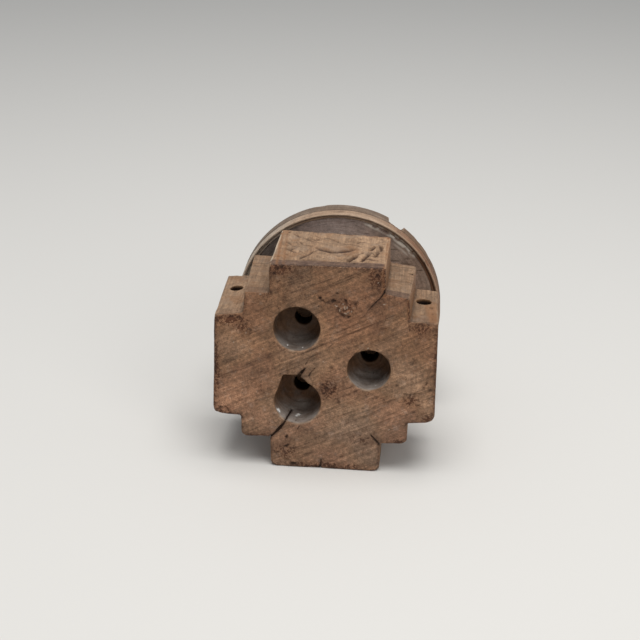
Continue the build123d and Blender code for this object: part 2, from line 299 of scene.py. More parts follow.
SPECKS = [  # pale fibres and dust: x, z, half length, half width, turn
    (-53.8, 100.4, 0.8, 0.9, 0), (-42.2, 88.6, 1.5, 0.6, -45), (-56.4, 57.4, 0.9, 0.8, 0),
    (37.8, 125.6, 1.6, 0.6, 10), (8.6, 119.4, 0.7, 1.6, 20), (12.0, 121.8, 0.7, 1.3, 35),
    (14.6, 118.6, 0.6, 1.0, 0), (-44.4, 128.4, 1.2, 0.6, 0), (33.4, 141.0, 0.9, 0.7, 0),
    (-24.6, 106.2, 0.0, 0.0, 0), (-1.6, 81.8, 0.7, 0.6, 0), (-62.0, 92.8, 0.7, 0.6, 0),
    (10.8, 124.0, 1.5, 0.7, 20), (13.8, 122.0, 1.3, 0.6, 60), (9.2, 121.4, 1.2, 0.7, -30),
    (16.2, 119.6, 1.2, 0.7, 30), (12.8, 117.8, 1.5, 0.6, -20), (17.8, 122.4, 1.0, 0.6, 50),
    (6.4, 123.0, 1.0, 0.6, 10), (-52.0, 103.2, 0.8, 0.6, 0), (-66.4, 106.0, 0.7, 0.6, 0),
    (28.4, 93.8, 1.0, 0.5, 25), (50.0, 104.2, 0.8, 0.5, 20), (-9.4, 98.4, 0.8, 0.5, 0),
    (44.8, 33.0, 0.8, 0.5, 0), (-60.2, 70.4, 0.7, 0.5, 0), (14.6, 71.0, 0.8, 0.5, 30),
]


def ellipses(u, v, table, soft=0.35):
    """Fields 0..1 from a table of turned ellipses; yields each row with its field."""
    for row in table:
        x, z, a, b, turn = row[:5]
        if a <= 0:
            continue
        c, s = math.cos(math.radians(turn)), math.sin(math.radians(turn))
        du, dv = u - x, v - z
        near = (np.abs(du) < 6) & (np.abs(dv) < 6)
        q = np.full(len(u), 9.0)
        q[near] = np.hypot((du[near] * c + dv[near] * s) / a, (-du[near] * s + dv[near] * c) / b)
        yield row, q


def build_block():
    ob = copy_of("grip_block", "block_wood")
    remesh(ob, 0.6)
    me = ob.data
    P, N = points(me), normals(me)
    S = Smoother(me)
    x, y, z = P.T
    d = y - Y0                                      # distance behind the front
    Ps = S.run(P, 10)
    bend = ((Ps - P) * N).sum(1)                    # < 0 on convex edges
    convex = np.clip(-bend / 0.7, 0, 1)
    concave = np.clip(bend / 0.7, 0, 1)

    front = step(-N[:, 1], 0.55, 0.85) * (d < 2.0)
    back = step(N[:, 1], 0.55, 0.85) * (d > 40)
    up = step(N[:, 2], 0.6, 0.9) * (d > 0.3)
    side = np.clip(1 - front - back, 0, 1)

    # worn edges: convex ones slump toward the smoothed shape, unevenly
    rub = 0.35 + 0.45 * step(fbm(P, 0.07, 3, 3), -0.3, 0.5)
    rub = rub * (convex > 0.02) * (1 - 0.6 * step(d, 50, 56))
    rub = S.run(rub, 3)
    P = P + (Ps - P) * np.clip(rub, 0, 1)[:, None]
    Pw = S.run(P, 34)
    heavy = step(fbm(P, 0.045, 9, 2), 0.15, 0.6) * (convex > 0.05)
    corner = np.zeros(len(P))
    for cx, cy, cz, r in ((-38, Y0, 150.4, 5.0), (36.8, Y0, 151, 3.5), (75, Y0, 40, 7.0),
                          (-76, Y0, 39, 6.0), (-75.4, Y0, 112.6, 5.0), (39, Y0, 0, 5.0),
                          (-37, Y0, 0, 5.0), (57, Y0, 22.9, 4.0), (-57, Y0, 21.8, 4.0),
                          (74.2, Y0, 114, 4.0)):
        corner = np.maximum(corner, 1 - step(np.hypot(np.hypot(x - cx, y - cy), z - cz), r * 0.3, r))
    corner = np.maximum(corner, 0.8 * (1 - step(np.hypot(x - 38.3, d), 0.8, 3.0)) * (z > 131))
    heavy = S.run(np.clip(heavy * 0.5 * (d < 45) + corner * (convex > 0.02), 0, 1), 4)
    P = P + (Pw - P) * (0.75 * heavy)[:, None]

    ang = math.radians(26.5)
    u = x * math.cos(ang) + z * math.sin(ang)       # along the saw marks
    v = -x * math.sin(ang) + z * math.cos(ang)      # across them
    zero = np.zeros(len(P))
    stroke = np.column_stack([u, zero, v])

    h = np.zeros(len(P))
    pit, stain, speck, groove = zero.copy(), zero.copy(), zero.copy(), zero.copy()
    rust = zero.copy()
    wob = 0.35 * fbm(P, 0.5, 77, 2)

    inwell = zero.copy()
    for wx_, wz_, wr, wd in WELLS:
        inwell = np.maximum(inwell, (np.hypot(x - wx_, z - wz_) < wr + 0.8) * (d > 0.8) * (d < wd + 1))

    # front: low swells, saw strokes, rings standing a little proud
    h += front * (0.22 * fbm(P, 0.035, 11, 3) + 0.09 * fbm(P, 0.28, 12, 3))
    saw = noise(stroke, [0.018, 1, 0.55], 21) * 0.6 + noise(stroke, [0.03, 1, 1.3], 22) * 0.5
    h += front * 0.11 * saw
    rx, rz = x - 0.5 + 2.2 * fbm(P, 0.05, 31, 2), z - 63.5 + 2.2 * fbm(P, 0.05, 33, 2)
    rad = np.hypot(rx, rz)
    ring = np.sin(rad * 2 * math.pi / 2.6 + 1.5 * fbm(P, 0.12, 35, 2))
    h += front * 0.035 * ring
    for path, hw, deep in SCORES:
        dist, t = to_path(x + 0.6 * wob, z + 0.6 * wob, path)
        f = np.exp(-((dist / hw) ** 2)) * step(t, 0.0, 0.12) * (1 - step(t, 0.86, 1.0))
        f *= 0.45 + 0.55 * step(noise(stroke, [0.11, 1, 0.2], 50), -0.4, 0.4)
        h -= front * deep * f
        groove = np.maximum(groove, front * f * deep * 2.0)
    for k, (path, hw, dark, deep) in enumerate(FINE):
        dist, t = to_path(x + 0.9 * wob, z - 0.9 * wob, path)
        f = np.exp(-((dist / hw) ** 2)) * (1 - 0.6 * t)
        h -= front * deep * 1.6 * f
        pit = np.maximum(pit, front * f * dark * (0.55 + 0.45 * step(noise(P, 0.9, 418), -0.3, 0.4)))
    for k, (path, depth) in enumerate(CRACKS):
        line = [(a, b) for a, b, _ in path]
        dist, t = to_path(x - 0.15 * d * inwell * (k == 0) + 0.5 * wob, z - 0.5 * wob, line)
        at_t = np.linspace(0, 1, len(path))
        half = 0.5 * np.interp(t, at_t, [c for _, _, c in path]) * (1 + 0.25 * noise(P, 0.8, 45 + k))
        f = 1 - step(dist, half * 0.75, half * 1.25 + 0.15)
        reach = (d < depth * (1.0 - 0.3 * t)) * (1 - up * (1 - inwell)) * (1 - back)
        h -= reach * 2.6 * f * np.minimum(half, 1.0)
        pit = np.maximum(pit, reach * f)
        f = np.exp(-((dist / 1.5) ** 2))
        stain = np.maximum(stain, reach * f * 0.55)
    wx = 0.75 * noise(P, 0.75, 401) + 0.35 * noise(P, 1.7, 402)
    wz = 0.75 * noise(P, 0.75, 403) + 0.35 * noise(P, 1.7, 404)
    for (px, pz, a, b, turn, deep, dark), q in ellipses(x + wx, z + wz, PITS):
        f = 1 - step(q, 0.30, 1.0)
        h -= front * deep * 0.8 * f
        pit = np.maximum(pit, front * f * step(dark, 0.45, 1.0) * dark * 0.8)
        stain = np.maximum(stain, front * (1 - step(q, 0.4, 1.7)) * dark * 0.75)
    for row, q in ellipses(x + wx, z - wz, SPECKS):
        f = 1 - step(q, 0.25, 0.85)
        speck = np.maximum(speck, front * f * 0.6)
        h += front * 0.1 * f
    # well mouths: pale rubbed lower rims, dark ragged upper ones
    for wx_, wz_, wr, wd in WELLS:
        rr = np.hypot(x - wx_, z - wz_)
        f = np.exp(-(((rr - wr - 0.25) / 0.65) ** 2)) * (d < 1.8) * step(wz_ - z, 3, 9)
        speck = np.maximum(speck, 0.30 * f * step(noise(P, 0.3, 419), -0.3, 0.5))
        f = np.exp(-(((rr - wr - 0.3 * noise(P, 0.5, 420)) / 0.8) ** 2)) * (d < 1.6) * step(z - wz_, 1, 7)
        f *= 1.0 if wd < 30 else 0.0
        h -= front * 0.5 * f * step(noise(P, 0.45, 422), -0.2, 0.5)
        pit = np.maximum(pit, 0.6 * f * step(noise(P, 0.45, 422), -0.2, 0.5))
    # scattered small pores and crumbs
    crumb = noise(P, 0.55, 61)
    h -= front * 0.35 * step(crumb, 0.62, 0.85)
    pit = np.maximum(pit, front * 0.55 * step(crumb, 0.66, 0.9))

    # front rims of the arms' tops: the surface rolls down to the front edge
    strip = up * (1 - step(d + 0.7 * wob, 7.6, 8.8))
    high = z > 120
    fade = np.where(high, 1.0, 0.45)
    h -= strip * fade * 0.75 * (1 - step(d, 0.0, 8.0))
    h -= up * fade * 0.42 * step(d + 0.7 * wob, 8.0, 9.2) * (d < 90)

    # top arm: shallow carving behind the rim
    crown = up * (z > 144)
    CARVE = [
        ([(-9.5, 34.5), (-6.0, 30.6), (-1.0, 28.2), (3.5, 27.6), (9.0, 29.4), (14.3, 33.6)], 1.9, 0.7, 1.1),
        ([(-31.0, 31.0), (-26.0, 26.0), (-22.0, 24.0)], 0.8, 0.4, 0.5),
        ([(-20.0, 9.6), (-13.0, 11.0), (-8.0, 10.6)], 0.8, 0.35, 0.5),
        ([(31.8, 44.0), (33.4, 38.0), (33.0, 33.0)], 0.8, 0.6, 0.8),
        ([(20.8, 13.0), (26.0, 16.0), (31.0, 14.6)], 0.8, 0.5, 0.7),
        ([(-20.0, 52.0), (-14.0, 46.0), (-6.0, 44.0)], 0.8, 0.25, 0.35),
        ([(6.0, 42.0), (12.0, 44.0), (18.0, 41.0)], 0.8, 0.25, 0.35),
        ([(-9.6, 29.6), (-12.6, 25.4), (-15.4, 20.0), (-18.0, 14.6), (-20.0, 9.6)], 0.9, 0.5, 0.7),
        ([(17.6, 23.6), (16.6, 19.4), (15.0, 15.0), (12.6, 10.4)], 1.15, 0.9, 1.0),
        ([(28.4, 43.0), (28.0, 38.0), (26.0, 32.4)], 1.0, 0.8, 1.0),
        ([(26.0, 28.4), (25.0, 23.0), (23.0, 17.4), (21.6, 12.4)], 1.15, 0.9, 1.0),
        ([(31.8, 31.0), (31.2, 26.0), (29.4, 21.0)], 0.9, 0.7, 0.9),
        ([(26.0, 28.4), (29.6, 24.0), (32.0, 20.6)], 0.7, 0.4, 0.5),
        ([(-30.2, 28.6), (-27.4, 27.8), (-24.8, 30.0)], 0.9, 0.4, 0.6),
        ([(-27.4, 58.6), (-25.2, 56.2), (-23.6, 53.6)], 0.9, 0.4, 0.5),
        ([(-11.2, 53.4), (-10.4, 50.4)], 0.8, 0.4, 0.5),
        ([(-24.0, 47.0), (-20.0, 40.0), (-14.0, 36.0)], 0.8, 0.3, 0.3),
        ([(-32.0, 46.0), (-28.0, 38.0), (-24.0, 33.0)], 0.8, 0.25, 0.3),
        ([(18.0, 24.0), (21.0, 27.0), (20.8, 30.0)], 0.6, 0.3, 0.4),
        ([(16.0, 46.0), (19.0, 50.0), (22.0, 49.0)], 0.6, 0.2, 0.3),
    ]
    for path, hw, deep, dark in CARVE:
        dist, t = to_path(x + 0.9 * wob + 0.3 * noise(P, 0.9, 405), d - 0.9 * wob, path)
        ends = (0.4 + 0.6 * step(t, 0.0, 0.25)) * (1 - 0.5 * step(t, 0.8, 1.0))
        f = np.exp(-((dist / (hw * 1.2)) ** 2)) * ends
        lift = np.exp(-(((dist - 2.6) / 1.5) ** 2)) * ends
        h -= crown * deep * 1.9 * f
        h += crown * deep * 0.55 * lift * (d > 10.5)
        groove = np.maximum(groove, crown * dark * f * (d > 9))
    # hollows and swells of the cut field, and its border
    h += crown * (d > 10) * (0.50 * noise(P, [0.11, 0.13, 0.11], 411) + 0.34 * noise(P, [0.26, 0.24, 0.26], 412))
    cut = np.column_stack([0.8 * x + 0.6 * d, 0 * x, -0.6 * x + 0.8 * d])
    h -= crown * (d > 10) * 0.34 * step(noise(cut, [0.36, 1, 0.15], 416), 0.5, 0.85)
    groove = np.maximum(groove, crown * (d > 10) * 0.16 * step(noise(cut, [0.36, 1, 0.15], 416), 0.55, 0.9))
    for xa, xb, dark in ((-36.4, -33.4, 0.9), (37.4, 37.0, 0.9), (-33.0, -29.0, 0.55)):
        xl = xa + (xb - xa) * (1 - d / 64.0) if xa < 0 else xa
        f = np.exp(-(((x - xl + 0.5 * wob) / 0.9) ** 2)) * step(noise(P, [0.05, 0.12, 0.05], 413), -0.7, 0.1)
        rust = np.maximum(rust, crown * f * dark)
        h -= crown * 0.25 * f
    for px, pd, r, deep in ((20.8, 26.0, 1.0, 0.6), (3.4, 48.0, 1.0, 0.7), (16.8, 6.8, 1.1, 0.5), (-31.5, 63, 1.2, 0.5)):
        f = 1 - step(np.hypot(x - px, d - pd) / r, 0.4, 1.3)
        h -= crown * deep * f
        pit = np.maximum(pit, crown * f * 0.8)
    h += crown * (0.16 * fbm(P * [1, 0.6, 1], 0.09, 71, 3) + 0.05 * fbm(P, [0.9, 0.12, 0.9], 73, 3))

    # brown right wall of the top arm, pale rubbed line along its left top edge
    rust = np.maximum(rust, 0.55 * (x > 37.0) * (z > 133) * (d < 70) * (1 - up))
    f = np.exp(-(((x + 38.6 - 0.02 * d) / 0.8) ** 2)) * (z > 148.6) * (d > 6) * (d < 66)
    speck = np.maximum(speck, 0.75 * f * step(noise(P, [0.1, 0.16, 0.1], 417), -0.8, 0.0))
    rust = np.maximum(rust, 0.6 * (x > 53.0) * (x < 58.5) * (z > 115.5) * (z < 129.5) * (1 - up))
    rust = np.maximum(rust, up * (z < 120) * 0.62 * step(x + 0.12 * d, 66.5, 69.5) * (1 - step(d, 26, 44)))
    # rubbed brown corner down the right front edge of the top arm
    f = np.exp(-(((x - 37.6) / 1.5) ** 2)) * (d < 3.5) * (z > 130)
    rust = np.maximum(rust, 0.9 * f)
    for ex, z1, z2 in ((-76.0, 38, 113), (75.0, 38, 114), (57.2, 21, 39), (-57.0, 21, 38)):
        f = np.exp(-(((x - ex) / 1.6) ** 2)) * (d < 1.8) * (z > z1) * (z < z2) * step(noise(P, 0.12, 415), -0.5, 0.4)
        rust = np.maximum(rust, 0.25 * f)

    # steps: plane marks from left to right, a notch and a bruise
    ledge = up * (z > 120) * (z < 144)
    h += ledge * (0.10 * noise(P, [0.04, 0.75, 0.04], 81) * step(noise(P, [0.03, 0.08, 0.03], 82), -0.3, 0.3)
                  + 0.05 * fbm(P, 0.3, 83, 3))
    f = (1 - step(np.abs(d - 45.0) / (0.35 + 0.42 * np.clip(x - 51.6, 0, 6)), 0.5, 1.1)) * (x > 51.6)
    h -= ledge * 1.3 * f
    pit = np.maximum(pit, ledge * f * 0.9)
    f = 1 - step(np.hypot((x + 53.2) / 3.2, (d - 47.6) / 1.1), 0.5, 1.2)
    h -= ledge * 0.6 * f
    pit = np.maximum(pit, ledge * f * 0.6)
    for dd, s in ((61.5, 1), (57.5, 1), (54.6, 1), (22.0, -1), (25.4, -1), (36.0, -1), (52.0, -1)):
        on = ledge * ((x < 0) if s > 0 else (x > 0))
        f = np.exp(-(((d - dd - 0.05 * x + 0.6 * wob) / 0.5) ** 2)) * step(noise(P, 0.12, int(dd)), -0.6, 0.2)
        h -= on * 0.16 * f
        groove = np.maximum(groove, on * 0.4 * f)

    # arm tops: long fibres and small bruises
    arm = up * (z < 120)
    h += arm * (0.07 * fbm(P, [0.8, 0.05, 0.8], 91, 3) + 0.10 * fbm(P, 0.12, 93, 3))
    bru = noise(P, [0.5, 0.35, 0.5], 95)
    h -= arm * 0.3 * step(bru, 0.6, 0.85)
    pit = np.maximum(pit, arm * 0.45 * step(bru, 0.66, 0.9))

    # every long-grain face
    flank = side * (1 - up)
    h += flank * (0.06 * fbm(P, [0.7, 0.04, 0.7], 101, 3) + 0.14 * fbm(P, 0.05, 103, 3))
    h += back * (0.12 * noise(np.column_stack([x, zero, z * 0.98 + 0.2 * x]), [0.02, 1, 0.6], 105) + 0.15 * fbm(P, 0.05, 107, 3))

    # wells: dusty walls, browner floors
    well = zero.copy()
    floor = zero.copy()
    for wx, wz, wr, wd in WELLS:
        rr = np.hypot(x - wx, z - wz)
        inside = (rr < wr + (6.5 if wd > 30 else 0.6)) * (d > 0.9) * (d < wd + 0.8) * (1 - up * (rr > wr + 0.6) * 0)
        well = np.maximum(well, inside * 1.0)
        floor = np.maximum(floor, (rr < wr + 0.6) * step(d, wd - 5, wd - 0.6) * (d < wd + 1.2))
    # bowl marks the lower front of each well wall, which the material keeps pale as painted light from above while the
    # walls above it take a darker brown as painted shade
    bowl = zero.copy()
    for wx_, wz_, wr, wd in WELLS:
        rr = np.hypot(x - wx_, z - wz_)
        R = wr * 0.62
        away = np.degrees(np.arctan2(x - wx_, z - wz_))
        keep = np.ones(len(P))
        if wd > 30:                                 # the squared corner stays square
            keep = step(np.abs(away + 22.0), 34.0, 60.0)
        m = (rr > wr - R) & (rr < wr + 0.8) & (d > wd - R) & (d < wd + 0.8)
        ru, du = rr - (wr - R), d - (wd - R)
        L = np.maximum(np.hypot(ru, du), 1e-6)
        pull = np.clip(L - R, 0, None) / L * m * keep
        k = ru * pull / np.maximum(rr, 1e-6)
        P[:, 0] -= (x - wx_) * k
        P[:, 2] -= (z - wz_) * k
        P[:, 1] -= du * pull
        q = (z - wz_) / wr + 0.55 * d / wd
        bowl = np.maximum(bowl, (rr < wr + 0.6) * (d < wd + 1) * (d > 0.3) * (1 - step(q, -0.62, -0.02)))
    # painted shade: the insides of the pilot holes and the arm holes, which the material darkens
    hole = zero.copy()
    for wx_, wz_, wr, wd, px, pz in PILOTS:
        rr = np.hypot(x - px, z - pz)
        hole = np.maximum(hole, (rr < 6.9) * step(d, wd - 0.9, wd + 2.5) * (d < 55))
    for hx, hd, hr in ARM_HOLES:
        hole = np.maximum(hole, (np.hypot(x - hx, d - hd) < hr + 0.6) * (1 - step(np.abs(z - 76.0), 35.2, 37.4)))
    h += well * (0.10 * fbm(P, [0.25, 0.5, 0.25], 111, 3))
    # turned steps round the pilot of the side well, gouge marks in the others
    rr = np.hypot(x - 28.6, z - 77.6)
    h += floor * (np.hypot(x - 29.3, z - 77.2) < 15) * 0.28 * np.sin(rr * 2 * math.pi / 3.1) * (1 - step(rr, 9.0, 12.5))
    h += floor * 0.22 * fbm(P, 0.3, 117, 2)
    h -= well * 0.05 * noise(P, [0.02, 1.1, 0.02], 113)

    P = P + N * h[:, None]
    P[:, 2] = np.clip(P[:, 2], 0.0, 151.27)
    P[:, 1] = np.maximum(P[:, 1], Y0)
    put_points(me, P)

    tone = np.full(len(P), 0.5)
    for cx, cz, sx, sz, amp in ((0, 138, 44, 15, -0.13), (-60, 48, 17, 15, 0.40), (62, 72, 14, 26, 0.11),
                                (0, 84, 22, 20, -0.05), (38, 46, 16, 10, 0.08), (-66, 86, 10, 12, -0.02),
                                (-52, 96, 10, 8, -0.08), (20, 96, 14, 8, -0.04), (50, 98, 12, 12, -0.05)):
        tone += front * amp * np.exp(-(((x - cx) / sx) ** 2) - ((z - cz) / sz) ** 2)
    tone += up * (z > 144) * (0.13 * step(x, 5, 30) + 0.06)
    tone += up * (z > 120) * (z < 144) * -0.09
    tone += up * (z < 120) * (x > 0) * (-0.17 + 0.18 * step(d, 42, 60))
    tone += up * (z < 120) * (x < 0) * 0.02
    tone += up * (z < 120) * 0.16 * np.exp(-(((x - 62) / 4.0) ** 2)) * (x > 0)
    crumbs = zero.copy()
    for cx, cz, sx, sz, amp in ((-31, 147, 10, 4.5, 1.0), (33, 144, 7, 9, 1.0), (-64, 109, 12, 4.5, 1.0),
                                (-74, 72, 3.2, 24, 0.8), (-56, 104, 9, 5, 0.7), (62, 110, 11, 5, 0.7),
                                (70, 42, 5, 5, 0.9), (59, 56, 7, 5, 0.8), (2, 61, 7, 7, 1.0),
                                (28, 24, 14, 6, 0.5), (-26, 12, 9, 8, 0.7), (2, 2.5, 34, 3.2, 0.8),
                                (13, 122, 10, 8, 0.6), (-40, 132, 4, 12, 0.5), (74, 90, 3, 20, 0.6),
                                (-70, 42, 8, 4, 0.7), (-47, 23, 10, 3, 0.6), (52, 24, 8, 3.5, 0.7),
                                (-30, 92, 8, 4, 0.4), (30, 60, 8, 5, 0.45), (-44, 60, 5, 8, 0.4)):
        crumbs = np.maximum(crumbs, front * amp * np.exp(-(((x - cx) / sx) ** 2) - ((z - cz) / sz) ** 2))
    # painted highlights: near-white glints on the walls of the wells
    glint = zero.copy()
    for gx, gd, gz, gr in ((-31.6, 5.0, 41.0, 1.7), (-32.0, 3.0, 42.6, 1.2), (-18.8, 14.0, 34.4, 1.6), (-20.0, 11.6, 34.3, 1.0),
                           (-23.0, 20.0, 101.0, 0.7), (-26.0, 6.0, 90.6, 0.7), (-16.0, 5.0, 89.6, 0.6),
                           (34.0, 6.0, 64.0, 0.7), (36.0, 5.0, 85.8, 0.5)):
        q = np.sqrt((x - gx) ** 2 + ((d - gd) * 0.8) ** 2 + (z - gz) ** 2) / gr
        glint = np.maximum(glint, 1 - step(q + 0.3 * noise(P, 1.3, 421), 0.5, 1.1))
    # dirt where hands and tables rubbed the front's outline
    dirt = zero.copy()
    loop = CROSS + CROSS[:1]
    for k in range(len(CROSS)):
        dist, _ = to_path(x, z, [loop[k], loop[k + 1]])
        reach = 2.2 + 1.6 * fbm(P, 0.12, 120 + k, 2)
        dirt = np.maximum(dirt, EDGE_DIRT[k] * (1 - step(dist, 0.15, reach + 1.2)) * front)
        dirt = np.maximum(dirt, EDGE_DIRT[k] * np.exp(-((dist / 1.1) ** 2)) * (d < 2.2))
    N2 = normals(me)
    Q = S.run(P, 3)
    fine_bend = ((Q - P) * N2).sum(1)
    attribute(me, "endg", np.clip(front + back, 0, 1))
    attribute(me, "wear", S.run(convex * np.clip(rub + heavy, 0, 1), 1))
    # concave creases and corners, which the materials darken as painted shade
    attribute(me, "cav", np.clip(concave * 0.8 + np.clip(fine_bend / 0.12, 0, 1) * 0.5, 0, 1))
    attribute(me, "pit", pit)
    attribute(me, "stain", np.clip(stain, 0, 1))
    attribute(me, "speck", speck)
    attribute(me, "groove", np.clip(groove, 0, 1))
    attribute(me, "strip", S.run(strip * np.where(high, np.where(z > 144, 1.0, np.where(x < 0, 0.45, 0.85)), 0.35), 1))
    attribute(me, "dirt", dirt)
    attribute(me, "well", S.run(well, 1))
    attribute(me, "floor", floor)
    attribute(me, "rust", np.clip(rust, 0, 1))
    attribute(me, "tone", np.clip(S.run(tone, 4), 0, 1))
    attribute(me, "crumbs", crumbs)
    attribute(me, "glint", glint)
    attribute(me, "bowl", S.run(bowl, 3))
    attribute(me, "hole", S.run(hole, 1))
    return ob


# ---------------------------------------------------- turned and small pieces
def base_fields(ob, voxel, rub_low=0.3, rub_high=0.7, seed=0, times=8, hold=None):
    remesh(ob, voxel)
    me = ob.data
    P, N = points(me), normals(me)
    S = Smoother(me)
    Ps = S.run(P, times)
    bend = ((Ps - P) * N).sum(1)
    convex = np.clip(-bend / (0.9 * voxel), 0, 1)
    concave = np.clip(bend / (0.9 * voxel), 0, 1)
    rub = rub_low + (rub_high - rub_low) * step(fbm(P, 0.06, 200 + seed, 3), -0.3, 0.5)
    rub = rub * (convex > 0.03)
    if hold is not None:
        rub = rub * (1 - hold(P))
        convex = convex * (1 - hold(P))
    P = P + (Ps - P) * rub[:, None]
    return me, P, N, S, convex, concave, rub


def finish_fields(me, P, S, convex, concave, **fields):
    put_points(me, P)
    N2 = normals(me)
    Q = S.run(P, 3)
    fine_bend = ((Q - P) * N2).sum(1)
    attribute(me, "wear", S.run(convex, 1))
    # concave creases and corners, which the materials darken as painted shade
    attribute(me, "cav", np.clip(concave * 0.8 + np.clip(fine_bend / 0.15, 0, 1) * 0.5, 0, 1))
    for k, val in fields.items():
        attribute(me, k, np.clip(val, 0, 1))


def polar(P):
    dx, dz = P[:, 0] - AX, P[:, 2] - AZ
    return np.hypot(dx, dz), np.degrees(np.arctan2(dx, dz)), P[:, 1] - Y0


def seam(P):
    """1 where the ring and the cup's floor meet flush, so that the joint stays tight."""
    r, a, d = polar(P)
    return ((r > 68.0) & (r < 72.9) & (d < 110.0)).astype(float)


def build_ring():
    ob = copy_of("rim_ring", "ring_wood")
    me, P, N, S, convex, concave, rub = base_fields(ob, 0.6, 0.35, 0.85, 1, hold=seam)
    r, a, d = polar(P)
    out = np.column_stack([(P[:, 0] - AX) / np.maximum(r, 1), np.zeros(len(P)), (P[:, 2] - AZ) / np.maximum(r, 1)])
    arc = np.column_stack([np.radians(a) * 75.0, d, r])
    h = 0.13 * fbm(P, 0.06, 301, 3) + 0.05 * fbm(P, 0.45, 302, 3)
    rim = (r > 74.2)
    h += rim * 0.10 * noise(arc, [0.02, 0.9, 0.1], 303)
    h += rim * 0.06 * noise(arc, [0.05, 2.0, 0.1], 304)
    # nicks along the bead and the band
    for ang, y, la, ly, deep in ((-52, 106, 2.5, 1.2, 0.6), (-31, 105, 3.0, 1.0, 0.4), (-12, 126, 4.0, 1.5, 0.4),
                                 (4, 105, 2.0, 1.0, 0.4), (17, 104.8, 2.6, 1.2, 0.5), (48, 126, 3.0, 1.6, 0.6),
                                 (58, 106, 3.0, 1.2, 0.5), (60, 125.5, 4.0, 1.6, 0.5),
                                 (-75, 125, 5.0, 2.0, 0.7), (104, 124, 6.0, 2.5, 0.8), (140, 106, 5.0, 2.0, 0.8),
                                 (163, 125, 6.0, 2.0, 0.9), (-120, 106, 5.0, 1.6, 0.7), (-150, 126, 6.0, 2.0, 0.7)):
        q = np.hypot((a - ang) * math.radians(1) * 75 / la, (d - y) / ly)
        h -= (r > 72.5) * deep * (1 - step(q + 0.25 * noise(P, 0.5, 305), 0.5, 1.3))
    # raw floor of the missing chip
    chip = (np.abs(a - 32.2) < 6.4) * (r < 75.2) * (r > 70.8) * (d > 116.0)
    chip = S.run(chip.astype(float), 2)
    h += chip * (0.45 * fbm(P, 0.45, 306, 3))
    face = step(-N[:, 1], 0.5, 0.8) * (d < 109.5) * (r < 73.9)
    h += face * (0.06 * noise(np.column_stack([r, r * 0, np.radians(a) * 70]), [1.6, 1, 0.05], 307))
    streak = step(a, 10, 19) * (1 - step(a, 46, 54))
    edge = np.exp(-(((r - 71.4) / 0.9) ** 2)) * (d < 109.5)
    P = P + N * h[:, None]
    P = np.where((np.hypot(P[:, 0] - AX, P[:, 2] - AZ) > 75.6)[:, None],
                 np.column_stack([AX + (P[:, 0] - AX) * 75.6 / np.maximum(np.hypot(P[:, 0] - AX, P[:, 2] - AZ), 1),
                                  P[:, 1],
                                  AZ + (P[:, 2] - AZ) * 75.6 / np.maximum(np.hypot(P[:, 0] - AX, P[:, 2] - AZ), 1)]), P)
    band = (r > 73.0) * step(d + 0.6 * fbm(P, 0.3, 308, 2), 113.4, 115.8)
    grooves = (r > 73.4) * np.exp(-(((d - 115.2) / 0.6) ** 2)) * (0.4 + 0.6 * step(a, 10, -30))
    white = edge * streak * step(noise(np.column_stack([np.radians(a) * 75, r, r * 0]), [0.35, 0.4, 1], 309) + 0.25, -0.1, 0.5)
    finish_fields(me, P, S, convex, concave, face=face, band=band, groove=grooves, chip=chip, speck=white,
                  pit=(r > 71) * 0.7 * step(noise(P, 0.4, 310), 0.68, 0.9))
    return ob


def build_floor():
    ob = copy_of("cup_floor", "floor_wood")
    me, P, N, S, convex, concave, rub = base_fields(ob, 0.7, 0.2, 0.5, 2, hold=seam)
    r, a, d = polar(P)
    face = step(-N[:, 1], 0.5, 0.8) * (d < 110)
    x, z = P[:, 0], P[:, 2]
    turn = np.column_stack([r, r * 0, np.radians(a) * 6])
    h = face * (0.16 * fbm(P, 0.05, 321, 3) + 0.07 * noise(turn, [0.9, 1, 0.12], 322) + 0.05 * fbm(P, 0.5, 323, 3))
    gouge = noise(P, [0.10, 1, 0.45], 324)
    h -= face * 0.2 * step(gouge, 0.55, 0.85)
    edge = np.exp(-(((r - 70.3) / 0.9) ** 2)) * face
    P = P + N * h[:, None]
    streak = step(a, 10, 19) * (1 - step(a, 46, 54))
    arc = np.column_stack([np.radians(a) * 75, r, r * 0])
    wander = 0.9 * noise(arc, [0.12, 0.1, 1], 331)
    w = 1.25 * np.exp(-(((r - 69.4 - wander) / 1.15) ** 2)) * face * streak
    w *= step(noise(arc, [0.30, 0.5, 1], 309) + 0.35, 0.0, 0.4)
    h2 = 0.35 * w
    P = P + N * h2[:, None]
    line = np.exp(-(((r - 66.4 - wander) / 0.45) ** 2)) * face * step(a, 8, 14) * (1 - step(a, 44, 50))
    w = np.maximum(w, 0.9 * line * step(noise(turn, [0.2, 1, 0.7], 325), -0.5, 0.2))
    w = np.clip(w, 0, 1)
    dust = face * (1 - step(np.hypot((x - 43) / 12, (z - 122) / 9), 0.3, 1.3)) * (0.5 + 0.5 * fbm(P, 0.25, 326, 3))
    dust = np.maximum(dust, face * 0.7 * (1 - step(np.hypot((x - 66) / 6, (z - 104) / 10), 0.3, 1.3)) * (0.5 + 0.5 * fbm(P, 0.4, 327, 3)))
    finish_fields(me, P, S, convex, concave, face=face, speck=w, dust=dust, pit=face * step(gouge, 0.62, 0.9) * 0.7)
    return ob


